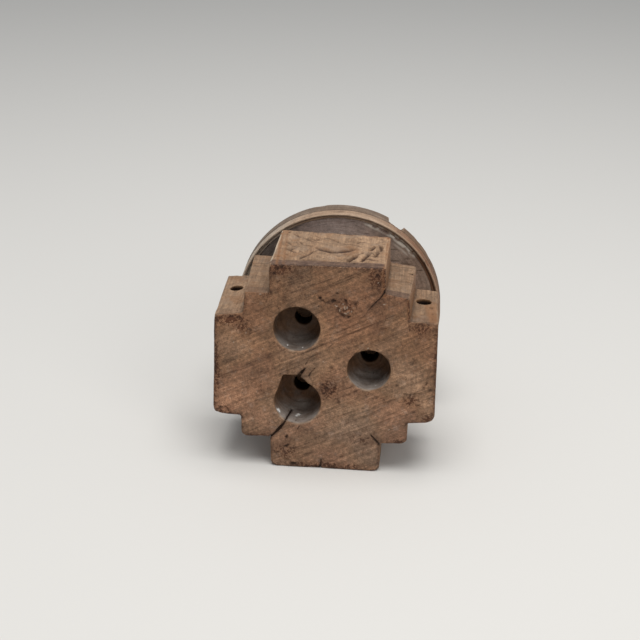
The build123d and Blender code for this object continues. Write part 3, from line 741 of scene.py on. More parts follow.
def build_plain(node, name, voxel, seed, long_axis=1, low=0.15, high=0.5, amp=0.10):
    ob = copy_of(node, name)
    me, P, N, S, convex, concave, rub = base_fields(ob, voxel, low, high, seed)
    fib = [0.8, 0.8, 0.8]
    fib[long_axis] = 0.05
    h = amp * fbm(P, 0.07, 400 + seed, 3) + 0.5 * amp * fbm(P, fib, 410 + seed, 3)
    r, a, d = polar(P)
    if node == "cup_barrel":
        arc = np.column_stack([np.radians(a) * 58.0, d, r])
        h += 0.07 * noise(arc, [0.02, 1.1, 0.1], 420)
        # drying checks down the outside of the barrel
        for ang, y1, y2, w in ((150, 124, 147, 0.45), (-98, 130, 157, 0.5), (62, 134, 150, 0.35)):
            dist = np.abs(a - ang - 0.8 * noise(P, 0.12, int(y1))) * math.radians(1) * 58
            f = np.exp(-((dist / w) ** 2)) * step(d, y1, y1 + 5) * (1 - step(d, y2 - 5, y2)) * (r > 52)
            h -= 0.8 * f
        for ang, y, la, ly, deep in ((25, 157, 5, 1.6, 0.8), (-60, 156, 6, 1.6, 0.7), (110, 157, 5, 1.5, 0.8),
                                     (200 - 360, 156.5, 7, 2.0, 0.9), (-20, 149, 4, 1.5, 0.5)):
            q = np.hypot((a - ang) * math.radians(1) * 60 / la, (d - y) / ly)
            h -= (r > 54) * deep * (1 - step(q + 0.25 * noise(P, 0.5, 305), 0.5, 1.3))
    if node == "plunger_stem":
        h += 0.10 * noise(P, [0.5, 0.02, 0.5], 430)
    if node == "print_plate":
        h += 0.05 * noise(np.column_stack([r, r * 0, r * 0]), [1.2, 1, 1], 440) * step(N[:, 1], 0.5, 0.9)
    P = P + N * (h - (0.06 if voxel < 0.7 else 0.0))[:, None]
    if node == "cup_barrel":
        P[:, 1] = np.minimum(P[:, 1], Y0 + 158.0)
    low_area = (d < 129.2) * (d > 126.5) if node == "print_plate" else np.zeros(len(P))
    inner = (r < 49.5) * (d > 117) if node == "cup_barrel" else np.zeros(len(P))
    endy = np.abs(N[:, long_axis])
    finish_fields(me, P, S, convex, concave, groove=low_area * step(N[:, 1], -0.5, 0.4), inner=inner,
                  endg=step(endy, 0.6, 0.9))
    return ob


# --------------------------------------------------------------- materials
def lin(r, g, b):
    """sRGB 0..255 to a linear RGBA tuple."""
    out = []
    for c in (r, g, b):
        c = c / 255
        out.append(c / 12.92 if c <= 0.04045 else ((c + 0.055) / 1.055) ** 2.4)
    return (*out, 1.0)


class Wood:
    """A node tree with short names for the nodes a wood needs. Lengths in mm."""

    def __init__(self, name):
        self.mat = bpy.data.materials.new(name)
        self.mat.use_nodes = True
        self.t = self.mat.node_tree
        self.t.nodes.clear()
        self.out = self.t.nodes.new("ShaderNodeOutputMaterial")
        self.bsdf = self.t.nodes.new("ShaderNodeBsdfPrincipled")
        self.t.links.new(self.bsdf.outputs[0], self.out.inputs[0])
        tc = self.t.nodes.new("ShaderNodeTexCoord")
        self.P = self.v("MULTIPLY", tc.outputs["Object"], (1000.0, 1000.0, 1000.0))
        self.height = None

    def put(self, socket, value):
        if isinstance(value, bpy.types.NodeSocket):
            self.t.links.new(value, socket)
        elif value is not None:
            socket.default_value = value

    def m(self, op, a, b=None, c=None, clamp=False):
        n = self.t.nodes.new("ShaderNodeMath")
        n.operation = op
        n.use_clamp = clamp
        for s, val in zip(n.inputs, (a, b, c)):
            self.put(s, val)
        return n.outputs[0]

    def v(self, op, a, b=None):
        n = self.t.nodes.new("ShaderNodeVectorMath")
        n.operation = op
        self.put(n.inputs[0], a)
        self.put(n.inputs[1], b)
        return n.outputs[1] if op in ("LENGTH", "DOT_PRODUCT") else n.outputs[0]

    def sep(self, vec):
        n = self.t.nodes.new("ShaderNodeSeparateXYZ")
        self.put(n.inputs[0], vec)
        return n.outputs[0], n.outputs[1], n.outputs[2]

    def comb(self, x, y, z):
        n = self.t.nodes.new("ShaderNodeCombineXYZ")
        for s, val in zip(n.inputs, (x, y, z)):
            self.put(s, val)
        return n.outputs[0]

    def at(self, name):
        n = self.t.nodes.new("ShaderNodeAttribute")
        n.attribute_name = name
        return n.outputs["Fac"]

    def noise(self, scale, detail=3.0, rough=0.5, vec=None, warp=0.0, shift=0.0):
        """0..1 noise; scale is cells per mm, one number or three."""
        s = scale if isinstance(scale, tuple) else (scale,) * 3
        p = self.v("MULTIPLY", vec if vec is not None else self.P, s)
        if shift:
            p = self.v("ADD", p, (shift, shift * 0.7, -shift))
        n = self.t.nodes.new("ShaderNodeTexNoise")
        n.inputs["Scale"].default_value = 1.0
        n.inputs["Detail"].default_value = detail
        n.inputs["Roughness"].default_value = rough
        n.inputs["Distortion"].default_value = warp
        self.put(n.inputs["Vector"], p)
        return n.outputs[0]

    def cells(self, scale, vec=None, feature="F1"):
        s = scale if isinstance(scale, tuple) else (scale,) * 3
        n = self.t.nodes.new("ShaderNodeTexVoronoi")
        n.feature = feature
        n.inputs["Scale"].default_value = 1.0
        self.put(n.inputs["Vector"], self.v("MULTIPLY", vec if vec is not None else self.P, s))
        return n.outputs["Distance"]

    def rng(self, x, a, b, c=0.0, d=1.0):
        n = self.t.nodes.new("ShaderNodeMapRange")
        n.interpolation_type = "SMOOTHSTEP"
        for s, val in zip(n.inputs, (x, a, b, c, d)):
            self.put(s, val)
        return n.outputs[0]

    def ramp(self, fac, *stops):
        n = self.t.nodes.new("ShaderNodeValToRGB")
        e = n.color_ramp.elements
        while len(e) < len(stops):
            e.new(0.5)
        for el, (pos, col) in zip(e, stops):
            el.position = pos
            el.color = col
        self.put(n.inputs[0], fac)
        return n.outputs[0]

    def mix(self, fac, a, b, kind="MIX"):
        n = self.t.nodes.new("ShaderNodeMix")
        n.data_type = "RGBA"
        n.blend_type = kind
        n.clamp_factor = True
        self.put(n.inputs[0], fac)
        self.put(n.inputs[6], a)
        self.put(n.inputs[7], b)
        return n.outputs[2]

    def times(self, col, fac, k):
        """Multiply a colour by k (a number or a colour) where fac is 1."""
        k = (k, k, k, 1.0) if isinstance(k, (int, float)) else k
        return self.mix(fac, col, k, "MULTIPLY")

    def tone(self, col, amount, x, low=0.25, high=0.75):
        """Brighten or darken a colour by a noise: amount 0.1 gives about +-10 %."""
        f = self.rng(x, low, high, 1.0 - amount, 1.0 + amount)
        return self.mix(1.0, col, self.comb(f, f, f), "MULTIPLY")

    def raise_by(self, x, mm):
        x = self.m("MULTIPLY", x, mm)
        self.height = x if self.height is None else self.m("ADD", self.height, x)

    def done(self, colour, rough, spec=0.28, bump=1.0):
        self.put(self.bsdf.inputs["Base Color"], colour)
        self.put(self.bsdf.inputs["Roughness"], rough)
        self.bsdf.inputs["Specular IOR Level"].default_value = spec
        if self.height is not None:
            n = self.t.nodes.new("ShaderNodeBump")
            n.inputs["Strength"].default_value = bump
            n.inputs["Distance"].default_value = 0.001
            self.put(n.inputs["Height"], self.height)
            self.t.links.new(n.outputs[0], self.bsdf.inputs["Normal"])
        return self.mat


def rings(w, cx, cz, period, vec=None, warp=2.4):
    """Growth rings round an axis along Y: 0..1, sharp on the dark late wood."""
    x, y, z = w.sep(vec if vec is not None else w.P)
    wx = w.m("MULTIPLY_ADD", w.noise((0.045, 0.006, 0.045), 2.0), 2 * warp, -warp)
    wz = w.m("MULTIPLY_ADD", w.noise((0.045, 0.006, 0.045), 2.0, shift=31.0), 2 * warp, -warp)
    dx = w.m("ADD", w.m("SUBTRACT", x, cx), wx)
    dz = w.m("ADD", w.m("SUBTRACT", z, cz), wz)
    rad = w.m("SQRT", w.m("ADD", w.m("MULTIPLY", dx, dx), w.m("MULTIPLY", dz, dz)))
    rad = w.m("ADD", rad, w.m("MULTIPLY", w.noise((0.2, 0.02, 0.2), 2.0, shift=7.0), 1.6))
    saw = w.m("FRACT", w.m("DIVIDE", rad, period))
    return w.m("POWER", saw, 2.2), rad


def block_material():
    w = Wood("block_wood")
    x, y, z = w.sep(w.P)
    late, rad = rings(w, 0.5, 63.5, 2.7)
    endg = w.at("endg")

    # ---- end grain
    big = w.noise(0.022, 3.0, 0.5, shift=3.0)
    e = w.ramp(big, (0.25, lin(128, 97, 73)), (0.5, lin(140, 107, 82)), (0.75, lin(150, 117, 91)))
    # redder toward the upper left, greyer toward the lower right
    tint = w.noise(0.028, 2.0, 0.5, shift=83.0)
    e = w.mix(w.rng(tint, 0.42, 0.62, 0.0, 0.5), e, lin(138, 99, 78))
    e = w.mix(w.rng(tint, 0.5, 0.32, 0.0, 0.45), e, lin(134, 110, 92))
    e = w.tone(e, 0.22, w.noise(0.09, 4.0, 0.6, shift=5.0))
    e = w.tone(e, 0.27, w.noise(0.42, 3.0, 0.6, shift=89.0), 0.3, 0.7)
    e = w.mix(w.rng(w.noise(0.30, 4.0, 0.65, shift=113.0), 0.54, 0.68, 0.0, 0.40), e, lin(122, 84, 62))
    e = w.mix(w.rng(w.noise(0.16, 5.0, 0.7, shift=127.0), 0.54, 0.68, 0.0, 0.42), e, lin(164, 138, 120))
    e = w.tone(e, 0.20, w.noise(0.045, 3.0, 0.55, shift=131.0))
    ca, sa = math.cos(math.radians(26.5)), math.sin(math.radians(26.5))
    u = w.m("ADD", w.m("MULTIPLY", x, ca), w.m("MULTIPLY", z, sa))
    v = w.m("SUBTRACT", w.m("MULTIPLY", z, ca), w.m("MULTIPLY", x, sa))
    strokes = w.comb(u, w.m("MULTIPLY", y, 0.2), v)
    s1 = w.noise((0.022, 1.0, 0.5), 4.0, 0.6, vec=strokes)
    s2 = w.noise((0.05, 1.0, 1.9), 3.0, 0.6, vec=strokes, shift=11.0)
    e = w.tone(e, 0.24, s1)
    e = w.tone(e, 0.14, w.noise((0.012, 1.0, 0.22), 3.0, 0.6, vec=strokes, shift=137.0))
    e = w.tone(e, 0.16, s2)
    # thin dark score lines left by the saw, broken up along their length
    s3 = w.noise((0.03, 1.0, 0.62), 2.0, 0.5, vec=strokes, shift=19.0)
    s4 = w.noise((0.12, 1.0, 1.2), 2.0, 0.6, vec=strokes, shift=27.0)
    e = w.times(e, w.m("MULTIPLY", w.rng(s3, 0.60, 0.68, 0.0, 0.5), w.rng(s4, 0.4, 0.6)), lin(112, 90, 76))
    near = w.rng(rad, 9.0, 26.0, 0.40, 0.08)
    e = w.times(e, w.m("MULTIPLY", late, near), lin(176, 156, 142))
    pores = w.noise((1.5, 0.3, 1.5), 3.0, 0.65, shift=2.0)
    e = w.tone(e, 0.26, pores, 0.3, 0.7)
    clump = w.m("MULTIPLY", w.rng(w.noise(0.075, 3.0, 0.6, shift=97.0), 0.52, 0.66), w.rng(w.noise(0.75, 4.0, 0.7, shift=101.0), 0.52, 0.66))
    e = w.times(e, w.m("MULTIPLY", clump, 0.7), lin(122, 84, 62))
    e = w.times(e, 1.0, (0.86, 0.862, 0.835, 1.0))
    crumbs = w.at("crumbs")
    cn = w.noise(0.62, 4.0, 0.72, shift=109.0)
    hit = w.rng(w.m("ADD", cn, w.m("MULTIPLY", crumbs, 0.15)), 0.57, 0.64)
    e = w.times(e, w.m("MULTIPLY", w.m("MULTIPLY", hit, w.m("MULTIPLY", crumbs, 1.6), clamp=True), 0.95), lin(88, 56, 38))
    e = w.mix(w.m("MULTIPLY", crumbs, 0.35), e, lin(122, 80, 54))
    # the upper parts are more orange, the lower ones greyer
    e = w.times(e, w.rng(z, 62.0, 104.0), (1.02, 0.955, 0.905, 1.0))
    e = w.times(e, w.rng(z, 62.0, 30.0), (1.0, 1.035, 1.10, 1.0))
    dots = w.cells((1.1, 0.2, 1.1))
    e = w.times(e, w.rng(dots, 0.26, 0.10, 0.0, 0.5), 0.5)
    # a few rays from the heart
    ang = w.m("ARCTAN2", w.m("SUBTRACT", x, 0.5), w.m("SUBTRACT", z, 63.5))
    ray = w.noise((1.0, 1.0, 1.0), 2.0, 0.6, vec=w.comb(w.m("MULTIPLY", ang, 26.0), w.m("MULTIPLY", rad, 0.03), 0.0))
    e = w.tone(e, 0.05, ray)

    # ---- long grain
    wide = w.noise((0.06, 0.008, 0.06), 3.0, 0.55, shift=9.0)
    g = w.ramp(wide, (0.2, lin(148, 117, 92)), (0.5, lin(159, 130, 105)), (0.8, lin(168, 139, 114)))
    f1 = w.noise((0.7, 0.018, 0.7), 4.0, 0.6, shift=13.0)
    f2 = w.noise((2.6, 0.05, 2.6), 3.0, 0.65, shift=17.0)
    g = w.tone(g, 0.19, f1)
    g = w.tone(g, 0.17, f2)
    g = w.times(g, w.m("MULTIPLY", late, 0.28), lin(184, 164, 148))
    patch = w.noise(0.12, 4.0, 0.6, shift=23.0)
    g = w.tone(g, 0.21, patch)
    g = w.tone(g, 0.18, w.noise((0.5, 0.3, 0.5), 4.0, 0.65, shift=103.0), 0.3, 0.7)
    g = w.mix(w.rng(w.noise(0.07, 3.0, 0.55, shift=29.0), 0.48, 0.68, 0.0, 0.6), g, lin(146, 107, 76))
    g = w.mix(w.rng(w.noise(0.09, 3.0, 0.55, shift=31.0), 0.55, 0.70, 0.0, 0.4), g, lin(156, 136, 120))
    fleck = w.noise((1.4, 0.25, 1.4), 2.0, 0.6, shift=37.0)
    g = w.times(g, w.rng(fleck, 0.64, 0.74, 0.0, 0.5), 0.5)
    # painted shade: long-grain faces that do not face up are made darker and warmer than the tops
    side = w.at("side")
    g = w.times(g, 1.0, (0.73, 0.72, 0.695, 1.0))
    g = w.times(g, side, lin(240, 226, 208))

    col = w.mix(endg, g, e)
    tf = w.m("ADD", w.m("MULTIPLY", w.at("tone"), 1.2), 0.4)
    col = w.mix(1.0, col, w.comb(tf, tf, tf), "MULTIPLY")

    # purple-grey rim strips along the front of the top arm and the steps
    strip = w.m("MULTIPLY", w.at("strip"), w.rng(w.noise(0.3, 3.0, 0.6, shift=41.0), 0.15, 0.6, 0.55, 1.0))
    st = w.ramp(w.noise((0.25, 0.5, 0.25), 4.0, 0.6, shift=43.0), (0.25, lin(60, 43, 38)), (0.5, lin(82, 62, 53)), (0.8, lin(108, 87, 76)))
    st = w.tone(st, 0.22, f2)
    col = w.mix(w.m("MULTIPLY", strip, 0.9), col, st)

    # wells: grey dust on the walls, browner turned floors; the lower walls are kept pale and the upper ones take the
    # floors' darker brown, painted light and shade from above
    well, floor = w.at("well"), w.at("floor")
    dust = w.noise((0.12, 0.16, 0.12), 4.0, 0.6, shift=47.0)
    wc = w.ramp(dust, (0.25, lin(100, 91, 84)), (0.55, lin(122, 114, 108)), (0.8, lin(140, 133, 127)))
    wc = w.tone(wc, 0.16, w.noise((0.5, 1.3, 0.5), 3.0, 0.6, shift=53.0))
    fc = w.ramp(w.noise(0.15, 4.0, 0.6, shift=59.0), (0.3, lin(72, 52, 37)), (0.6, lin(96, 70, 50)), (0.8, lin(112, 85, 64)))
    fc = w.tone(fc, 0.15, w.noise(0.5, 4.0, 0.6, shift=57.0))
    bowl = w.m("ADD", w.at("bowl"), w.rng(dust, 0.3, 0.7, -0.2, 0.2), clamp=True)
    wc = w.mix(bowl, fc, wc)
    # the bottom well is lightened strongly and the right-hand well a little; on the bottom well this is painted light
    # from above
    lower = w.m("MULTIPLY", w.rng(z, 78.0, 70.0), w.rng(x, 10.0, 4.0))
    kf = w.m("ADD", 1.0, w.m("MULTIPLY", lower, 0.65))
    kf = w.m("ADD", kf, w.rng(x, 6.0, 12.0, 0.0, 0.28))
    wc = w.mix(1.0, wc, w.comb(kf, kf, kf), "MULTIPLY")
    col = w.mix(w.m("MULTIPLY", well, 0.92), col, wc)
    rust = w.m("MULTIPLY", w.at("rust"), w.rng(w.noise(0.35, 3.0, 0.6, shift=107.0), 0.25, 0.55, 0.4, 1.0))
    col = w.mix(w.m("MULTIPLY", rust, 0.8), col, lin(138, 94, 60))

    # wear, dirt, pits and scores, and painted shade in concave creases
    wear = w.at("wear")
    wn = w.noise(0.5, 3.0, 0.6, shift=61.0)
    col = w.mix(w.m("MULTIPLY", w.rng(w.m("MULTIPLY", wear, w.m("SUBTRACT", 1.0, w.m("MULTIPLY", endg, 0.75))), 0.15, 0.75, 0.0, 0.6), wn), col, lin(196, 166, 136))
    dirt = w.m("MULTIPLY", w.at("dirt"), w.rng(w.noise(0.55, 4.0, 0.7, shift=67.0), 0.38, 0.58, 0.1, 1.0))
    col = w.times(col, w.m("MULTIPLY", dirt, 0.95), lin(104, 70, 50))
    col = w.times(col, w.m("MULTIPLY", w.at("stain"), 0.78), lin(102, 76, 62))
    col = w.times(col, w.m("MULTIPLY", w.at("cav"), 0.6), lin(120, 100, 86))
    col = w.times(col, w.m("MULTIPLY", w.at("groove"), w.m("ADD", w.m("MULTIPLY", endg, -0.35), 0.95)), lin(92, 60, 42))
    pit = w.at("pit")
    col = w.mix(w.rng(pit, 0.12, 0.85, 0.0, 0.94), col, lin(44, 30, 21))
    col = w.mix(w.m("MULTIPLY", w.at("speck"), 0.8), col, lin(206, 192, 172))
    # painted highlights: near-white glints in the wells
    col = w.mix(w.at("glint"), col, lin(250, 248, 244))
    # painted shade inside the pilot holes and the arm holes
    col = w.times(col, w.at("hole"), lin(70, 56, 48))

    # pale dust in the pores of the front and tops
    dustfall = w.noise(1.1, 3.0, 0.7, shift=71.0)
    col = w.mix(w.rng(dustfall, 0.66, 0.80, 0.0, 0.35), col, lin(184, 168, 150))

    w.raise_by(w.m("MULTIPLY", endg, pores), 0.30)
    w.raise_by(w.m("MULTIPLY", endg, s2), 0.22)
    w.raise_by(w.m("MULTIPLY", w.m("SUBTRACT", 1.0, endg), f2), 0.30)
    w.raise_by(w.m("MULTIPLY", w.m("SUBTRACT", 1.0, endg), f1), 0.15)
    w.raise_by(w.noise(0.8, 4.0, 0.65, shift=73.0), 0.14)
    rough = w.rng(w.noise(0.35, 3.0, 0.6, shift=79.0), 0.3, 0.7, 0.56, 0.74)
    rough = w.m("ADD", rough, w.m("MULTIPLY", pit, 0.15))
    rough = w.m("SUBTRACT", rough, w.m("MULTIPLY", wear, 0.08))
    return w.done(col, rough, 0.26)


def ring_material():
    w = Wood("ring_wood")
    x, y, z = w.sep(w.P)
    late, rad = rings(w, AX + 3.0, AZ - 6.0, 3.1)
    face, band = w.at("face"), w.at("band")
    rr = w.v("LENGTH", w.comb(w.m("SUBTRACT", x, AX), 0.0, w.m("SUBTRACT", z, AZ)))
    ang = w.m("ARCTAN2", w.m("SUBTRACT", x, AX), w.m("SUBTRACT", z, AZ))
    arc = w.comb(w.m("MULTIPLY", ang, 75.0), y, rr)
    big = w.noise((0.03, 0.1, 0.1), 3.0, 0.6, vec=arc, shift=3.0)
    c = w.ramp(big, (0.25, lin(136, 112, 93)), (0.5, lin(152, 127, 106)), (0.75, lin(168, 146, 126)))
    # the left of the rim is greyer and paler: painted light, the cool light falling on its left side
    left = w.rng(ang, -0.35, -0.75, 0.0, 0.8)
    c = w.mix(left, c, lin(176, 163, 148))
    c = w.mix(w.rng(ang, 0.3, 0.9, 0.0, 0.9), c, lin(120, 84, 60))
    b = w.ramp(big, (0.25, lin(92, 77, 64)), (0.5, lin(108, 92, 79)), (0.75, lin(126, 112, 100)))
    b = w.mix(w.rng(ang, 0.3, 0.9, 0.0, 0.8), b, lin(106, 82, 61))
    c = w.mix(w.m("MULTIPLY", band, 0.9), c, b)
    turn = w.noise((0.02, 1.3, 1.3), 4.0, 0.6, vec=arc, shift=7.0)
    c = w.tone(c, 0.14, turn)
    grain = w.noise((1.6, 0.08, 1.6), 4.0, 0.65, shift=11.0)
    c = w.tone(c, 0.14, grain)
    c = w.times(c, w.m("MULTIPLY", late, 0.28), lin(184, 166, 152))
    blotch = w.noise(0.18, 4.0, 0.65, shift=13.0)
    c = w.tone(c, 0.16, blotch)
    c = w.mix(w.rng(w.noise(0.35, 4.0, 0.6, shift=17.0), 0.58, 0.72, 0.0, 0.45), c, lin(92, 66, 47))
    chip = w.at("chip")
    c = w.mix(w.m("MULTIPLY", chip, 0.75), c, lin(122, 92, 68))
    c = w.mix(w.rng(w.at("wear"), 0.2, 0.8, 0.0, 0.4), c, lin(186, 164, 142))
    # painted shade in concave creases
    c = w.times(c, w.m("MULTIPLY", w.at("cav"), 0.7), lin(104, 84, 70))
    c = w.times(c, w.m("MULTIPLY", w.at("groove"), 0.7), lin(104, 86, 72))
    c = w.times(c, w.m("MULTIPLY", w.at("pit"), 0.7), lin(84, 66, 54))
    c = w.mix(w.m("MULTIPLY", w.at("speck"), 0.75), c, lin(206, 196, 180))
    w.raise_by(grain, 0.32)
    w.raise_by(turn, 0.22)
    w.raise_by(w.noise(0.9, 4.0, 0.65, shift=19.0), 0.15)
    rough = w.rng(w.noise(0.4, 3.0, 0.6, shift=23.0), 0.3, 0.7, 0.58, 0.76)
    return w.done(c, rough, 0.25)


def floor_material():
    w = Wood("floor_wood")
    x, y, z = w.sep(w.P)
    late, rad = rings(w, AX - 4.0, AZ + 3.0, 3.0)
    rr = w.v("LENGTH", w.comb(w.m("SUBTRACT", x, AX), 0.0, w.m("SUBTRACT", z, AZ)))
    ang = w.m("ARCTAN2", w.m("SUBTRACT", x, AX), w.m("SUBTRACT", z, AZ))
    arc = w.comb(w.m("MULTIPLY", ang, 14.0), y, rr)
    big = w.noise(0.03, 4.0, 0.6, shift=5.0)
    c = w.ramp(big, (0.25, lin(128, 112, 105)), (0.5, lin(148, 131, 123)), (0.75, lin(166, 150, 142)))
    # painted shadow: the left of the disc is darkened where the block's top arm and the rim shade it
    c = w.mix(w.rng(x, -16.0, -44.0, 0.0, 0.85), c, lin(78, 69, 62))
    warm = w.rng(x, -5.0, 62.0, 0.0, 0.75)
    c = w.mix(warm, c, lin(130, 105, 86))
    c = w.tone(c, 0.15, w.noise((0.1, 1.0, 1.1), 4.0, 0.6, vec=arc, shift=7.0))
    c = w.tone(c, 0.15, w.noise((1.4, 0.2, 1.4), 4.0, 0.65, shift=11.0))
    c = w.tone(c, 0.16, w.noise(0.16, 4.0, 0.65, shift=13.0))
    c = w.times(c, w.m("MULTIPLY", late, 0.3), lin(178, 160, 148))
    c = w.tone(c, 0.2, w.noise(0.4, 4.0, 0.7, shift=37.0), 0.3, 0.7)
    c = w.times(c, w.rng(w.noise((0.12, 0.12, 0.5), 3.0, 0.6, shift=17.0), 0.60, 0.74, 0.0, 0.4), 0.55)
    c = w.mix(w.m("MULTIPLY", w.at("dust"), 0.55), c, lin(158, 142, 128))
    c = w.mix(w.rng(w.at("wear"), 0.2, 0.8, 0.0, 0.3), c, lin(150, 132, 116))
    # painted shade in concave creases
    c = w.times(c, w.m("MULTIPLY", w.at("cav"), 0.6), lin(104, 86, 74))
    c = w.times(c, w.m("MULTIPLY", w.at("pit"), 0.7), lin(90, 72, 60))
    c = w.mix(w.m("MULTIPLY", w.at("speck"), 0.92), c, lin(214, 204, 190))
    turn = w.noise((0.05, 1.0, 1.6), 4.0, 0.6, vec=arc, shift=19.0)
    w.raise_by(turn, 0.25)
    w.raise_by(w.noise((1.5, 0.2, 1.5), 3.0, 0.65, shift=23.0), 0.28)
    w.raise_by(w.noise(0.7, 4.0, 0.65, shift=29.0), 0.16)
    rough = w.rng(w.noise(0.3, 3.0, 0.6, shift=31.0), 0.3, 0.7, 0.58, 0.78)
    return w.done(c, rough, 0.24)


def plain_material(name, dark, mid, pale, end, centre, period=2.6, axis=1, grease=0.0):
    """Long-grained wood: fibres along one axis, end grain where they are cut."""
    w = Wood(name)
    order = {0: (1, 0, 2), 1: (0, 1, 2), 2: (0, 2, 1)}[axis]
    xyz = w.sep(w.P)
    vec = w.comb(*[xyz[k] for k in order])
    late, rad = rings(w, centre[0], centre[1], period, vec=vec)
    big = w.noise((0.05, 0.01, 0.05), 3.0, 0.6, vec=vec, shift=3.0)
    c = w.ramp(big, (0.25, lin(*dark)), (0.5, lin(*mid)), (0.78, lin(*pale)))
    f1 = w.noise((0.7, 0.02, 0.7), 4.0, 0.6, vec=vec, shift=7.0)
    f2 = w.noise((2.6, 0.06, 2.6), 3.0, 0.65, vec=vec, shift=11.0)
    c = w.tone(c, 0.14, f1)
    c = w.tone(c, 0.12, f2)
    c = w.mix(w.m("MULTIPLY", w.at("endg"), 0.8), c, lin(*end))
    c = w.times(c, w.m("MULTIPLY", late, 0.4), lin(178, 156, 138))
    pores = w.noise((1.6, 0.3, 1.6), 3.0, 0.65, vec=vec, shift=13.0)
    c = w.tone(c, 0.12, pores)
    c = w.tone(c, 0.15, w.noise(0.15, 4.0, 0.65, shift=17.0))
    c = w.mix(w.rng(w.noise(0.3, 4.0, 0.6, shift=19.0), 0.6, 0.74, 0.0, 0.4), c, w.times(c, 1.0, 0.5))
    c = w.mix(w.rng(w.at("wear"), 0.2, 0.8, 0.0, 0.4), c, lin(*pale))
    # painted shade in concave creases
    c = w.times(c, w.m("MULTIPLY", w.at("cav"), 0.65), lin(110, 88, 72))
    c = w.times(c, w.m("MULTIPLY", w.at("groove"), 0.55), lin(120, 96, 78))
    c = w.times(c, w.m("MULTIPLY", w.at("inner"), 0.6), lin(196, 178, 150))
    w.raise_by(f2, 0.28)
    w.raise_by(f1, 0.16)
    w.raise_by(w.noise(0.8, 4.0, 0.65, shift=23.0), 0.14)
    rough = w.rng(w.noise(0.35, 3.0, 0.6, shift=29.0), 0.3, 0.7, 0.52 - grease, 0.72 - grease)
    return w.done(c, rough, 0.28)


# ------------------------------------------------------------------ the parts
def dress(ob, body, slot, material, *stands_for):
    ob.data.materials.append(material)
    for p in ob.data.polygons:
        p.use_smooth = True
    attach(ob, body)
    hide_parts(*stands_for)


block = build_block()
# side marks the faces that do not face up, which the block material darkens as painted shade
attribute(block.data, "side", np.clip(1 - step(normals(block.data)[:, 2], 0.2, 0.7), 0, 1))
dress(block, "plunger", "block_wood", block_material(), "grip_block")

ring = build_ring()
dress(ring, "cup", "ring_wood", ring_material(), "rim_ring")

floor_piece = build_floor()
dress(floor_piece, "cup", "cup_wood", floor_material(), "cup_floor")

barrel = build_plain("cup_barrel", "barrel_turned", 0.85, 3, low=0.3, high=0.8, amp=0.12)
dress(barrel, "cup", "barrel_wood",
      plain_material("barrel_wood", (112, 86, 64), (134, 105, 80), (158, 130, 104), (122, 96, 74),
                     (AX + 2, AZ - 4), 2.8), "cup_barrel")

stem = build_plain("plunger_stem", "stem_turned", 0.9, 4, low=0.2, high=0.6)
dress(stem, "plunger", "stem_wood",
      plain_material("stem_wood", (120, 86, 58), (146, 109, 76), (170, 134, 98), (126, 94, 66),
                     (AX + 30, AZ - 22), 3.2), "plunger_stem")

plate = build_plain("print_plate", "plate_carved", 0.62, 5, low=0.1, high=0.35, amp=0.05)
dress(plate, "plunger", "plate_wood",
      plain_material("plate_wood", (150, 116, 80), (172, 138, 98), (194, 162, 120), (160, 128, 92),
                     (AX - 8, AZ + 14), 2.2, grease=0.08), "print_plate")

pegs = build_plain("stem_pegs", "pegs_stem", 0.6, 6, low=0.2, high=0.5, amp=0.05)
dress(pegs, "plunger", "peg_wood",
      plain_material("peg_wood", (104, 76, 54), (128, 96, 68), (150, 118, 88), (96, 72, 52),
                     (AX, AZ), 1.6), "stem_pegs")

rim_peg = build_plain("rim_pegs", "pegs_rim", 0.4, 7, low=0.2, high=0.5, amp=0.03)
dress(rim_peg, "cup", "peg_wood",
      plain_material("rim_peg_wood", (116, 88, 64), (138, 108, 80), (160, 130, 100), (104, 80, 60),
                     (AX + 40, AZ), 1.4), "rim_pegs")

wedge = build_plain("print_wedge", "wedge_split", 0.35, 8, low=0.2, high=0.5, amp=0.03)
dress(wedge, "plunger", "wedge_wood",
      plain_material("wedge_wood", (128, 92, 60), (150, 112, 76), (172, 136, 98), (118, 86, 58),
                     (AX, AZ), 1.8), "print_wedge")


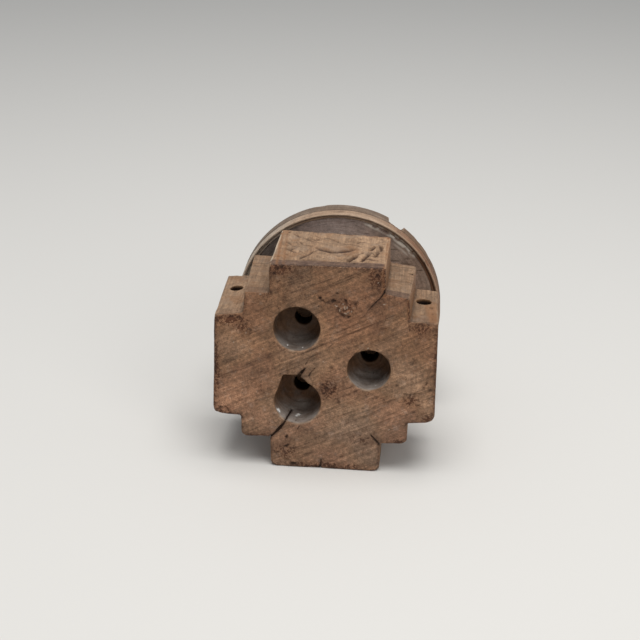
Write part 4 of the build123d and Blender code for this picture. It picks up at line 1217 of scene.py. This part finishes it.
# --------------------------------------------------- floor, light and camera
def stage_floor():
    me = bpy.data.meshes.new("studio_floor")
    s = 6.0
    me.from_pydata([(-s, -s, 0), (s, -s, 0), (s, s, 0), (-s, s, 0)], [], [(0, 1, 2, 3)])
    ob = bpy.data.objects.new("studio_floor", me)
    bpy.context.scene.collection.objects.link(ob)
    mat = bpy.data.materials.new("studio_floor")
    mat.use_nodes = True
    b = mat.node_tree.nodes["Principled BSDF"]
    b.inputs["Base Color"].default_value = (0.62, 0.61, 0.59, 1)
    b.inputs["Roughness"].default_value = 0.9
    b.inputs["Specular IOR Level"].default_value = 0.1
    me.materials.append(mat)


def area(name, where, aim, size, watts, colour=(1, 1, 1)):
    light = bpy.data.lights.new(name, "AREA")
    light.shape = "DISK"
    light.size = size
    light.energy = watts
    light.color = colour
    ob = bpy.data.objects.new(name, light)
    bpy.context.scene.collection.objects.link(ob)
    ob.location = where
    ob.rotation_euler = (Vector(aim) - Vector(where)).to_track_quat("-Z", "Y").to_euler()


stage_floor()
centre = (0.0, 0.0, 0.08)
area("overhead", (0.10, -0.35, 1.9), centre, 1.5, 34.0, (1.0, 0.985, 0.96))
area("front_right", (1.1, -1.5, 1.1), centre, 1.1, 9.0, (1.0, 0.97, 0.93))

world = bpy.data.worlds.new("studio")
world.use_nodes = True
bg = world.node_tree.nodes["Background"]
bg.inputs[0].default_value = (0.95, 0.975, 1.0, 1)
bg.inputs[1].default_value = 0.42
bpy.context.scene.world = world

pitch, yaw, roll = 0.40831191507093334, -0.07607224843396866, 0.021129417061463183
fwd = Vector((math.sin(yaw) * math.cos(pitch), math.cos(yaw) * math.cos(pitch), -math.sin(pitch)))
right = Vector((math.cos(yaw), -math.sin(yaw), 0.0))
upward = right.cross(fwd)
r2 = math.cos(roll) * right + math.sin(roll) * upward
u2 = -math.sin(roll) * right + math.cos(roll) * upward
cam = bpy.data.cameras.new("camera")
cam.sensor_width = 36.0
cam.lens = 75.9375
cam_ob = bpy.data.objects.new("camera", cam)
bpy.context.scene.collection.objects.link(cam_ob)
M = Matrix((r2, u2, -fwd)).transposed().to_4x4()
M.translation = Vector((0.05813, -0.89712, 0.46723))
cam_ob.matrix_world = M
bpy.context.scene.camera = cam_ob
bpy.context.scene.view_settings.view_transform = "Standard"
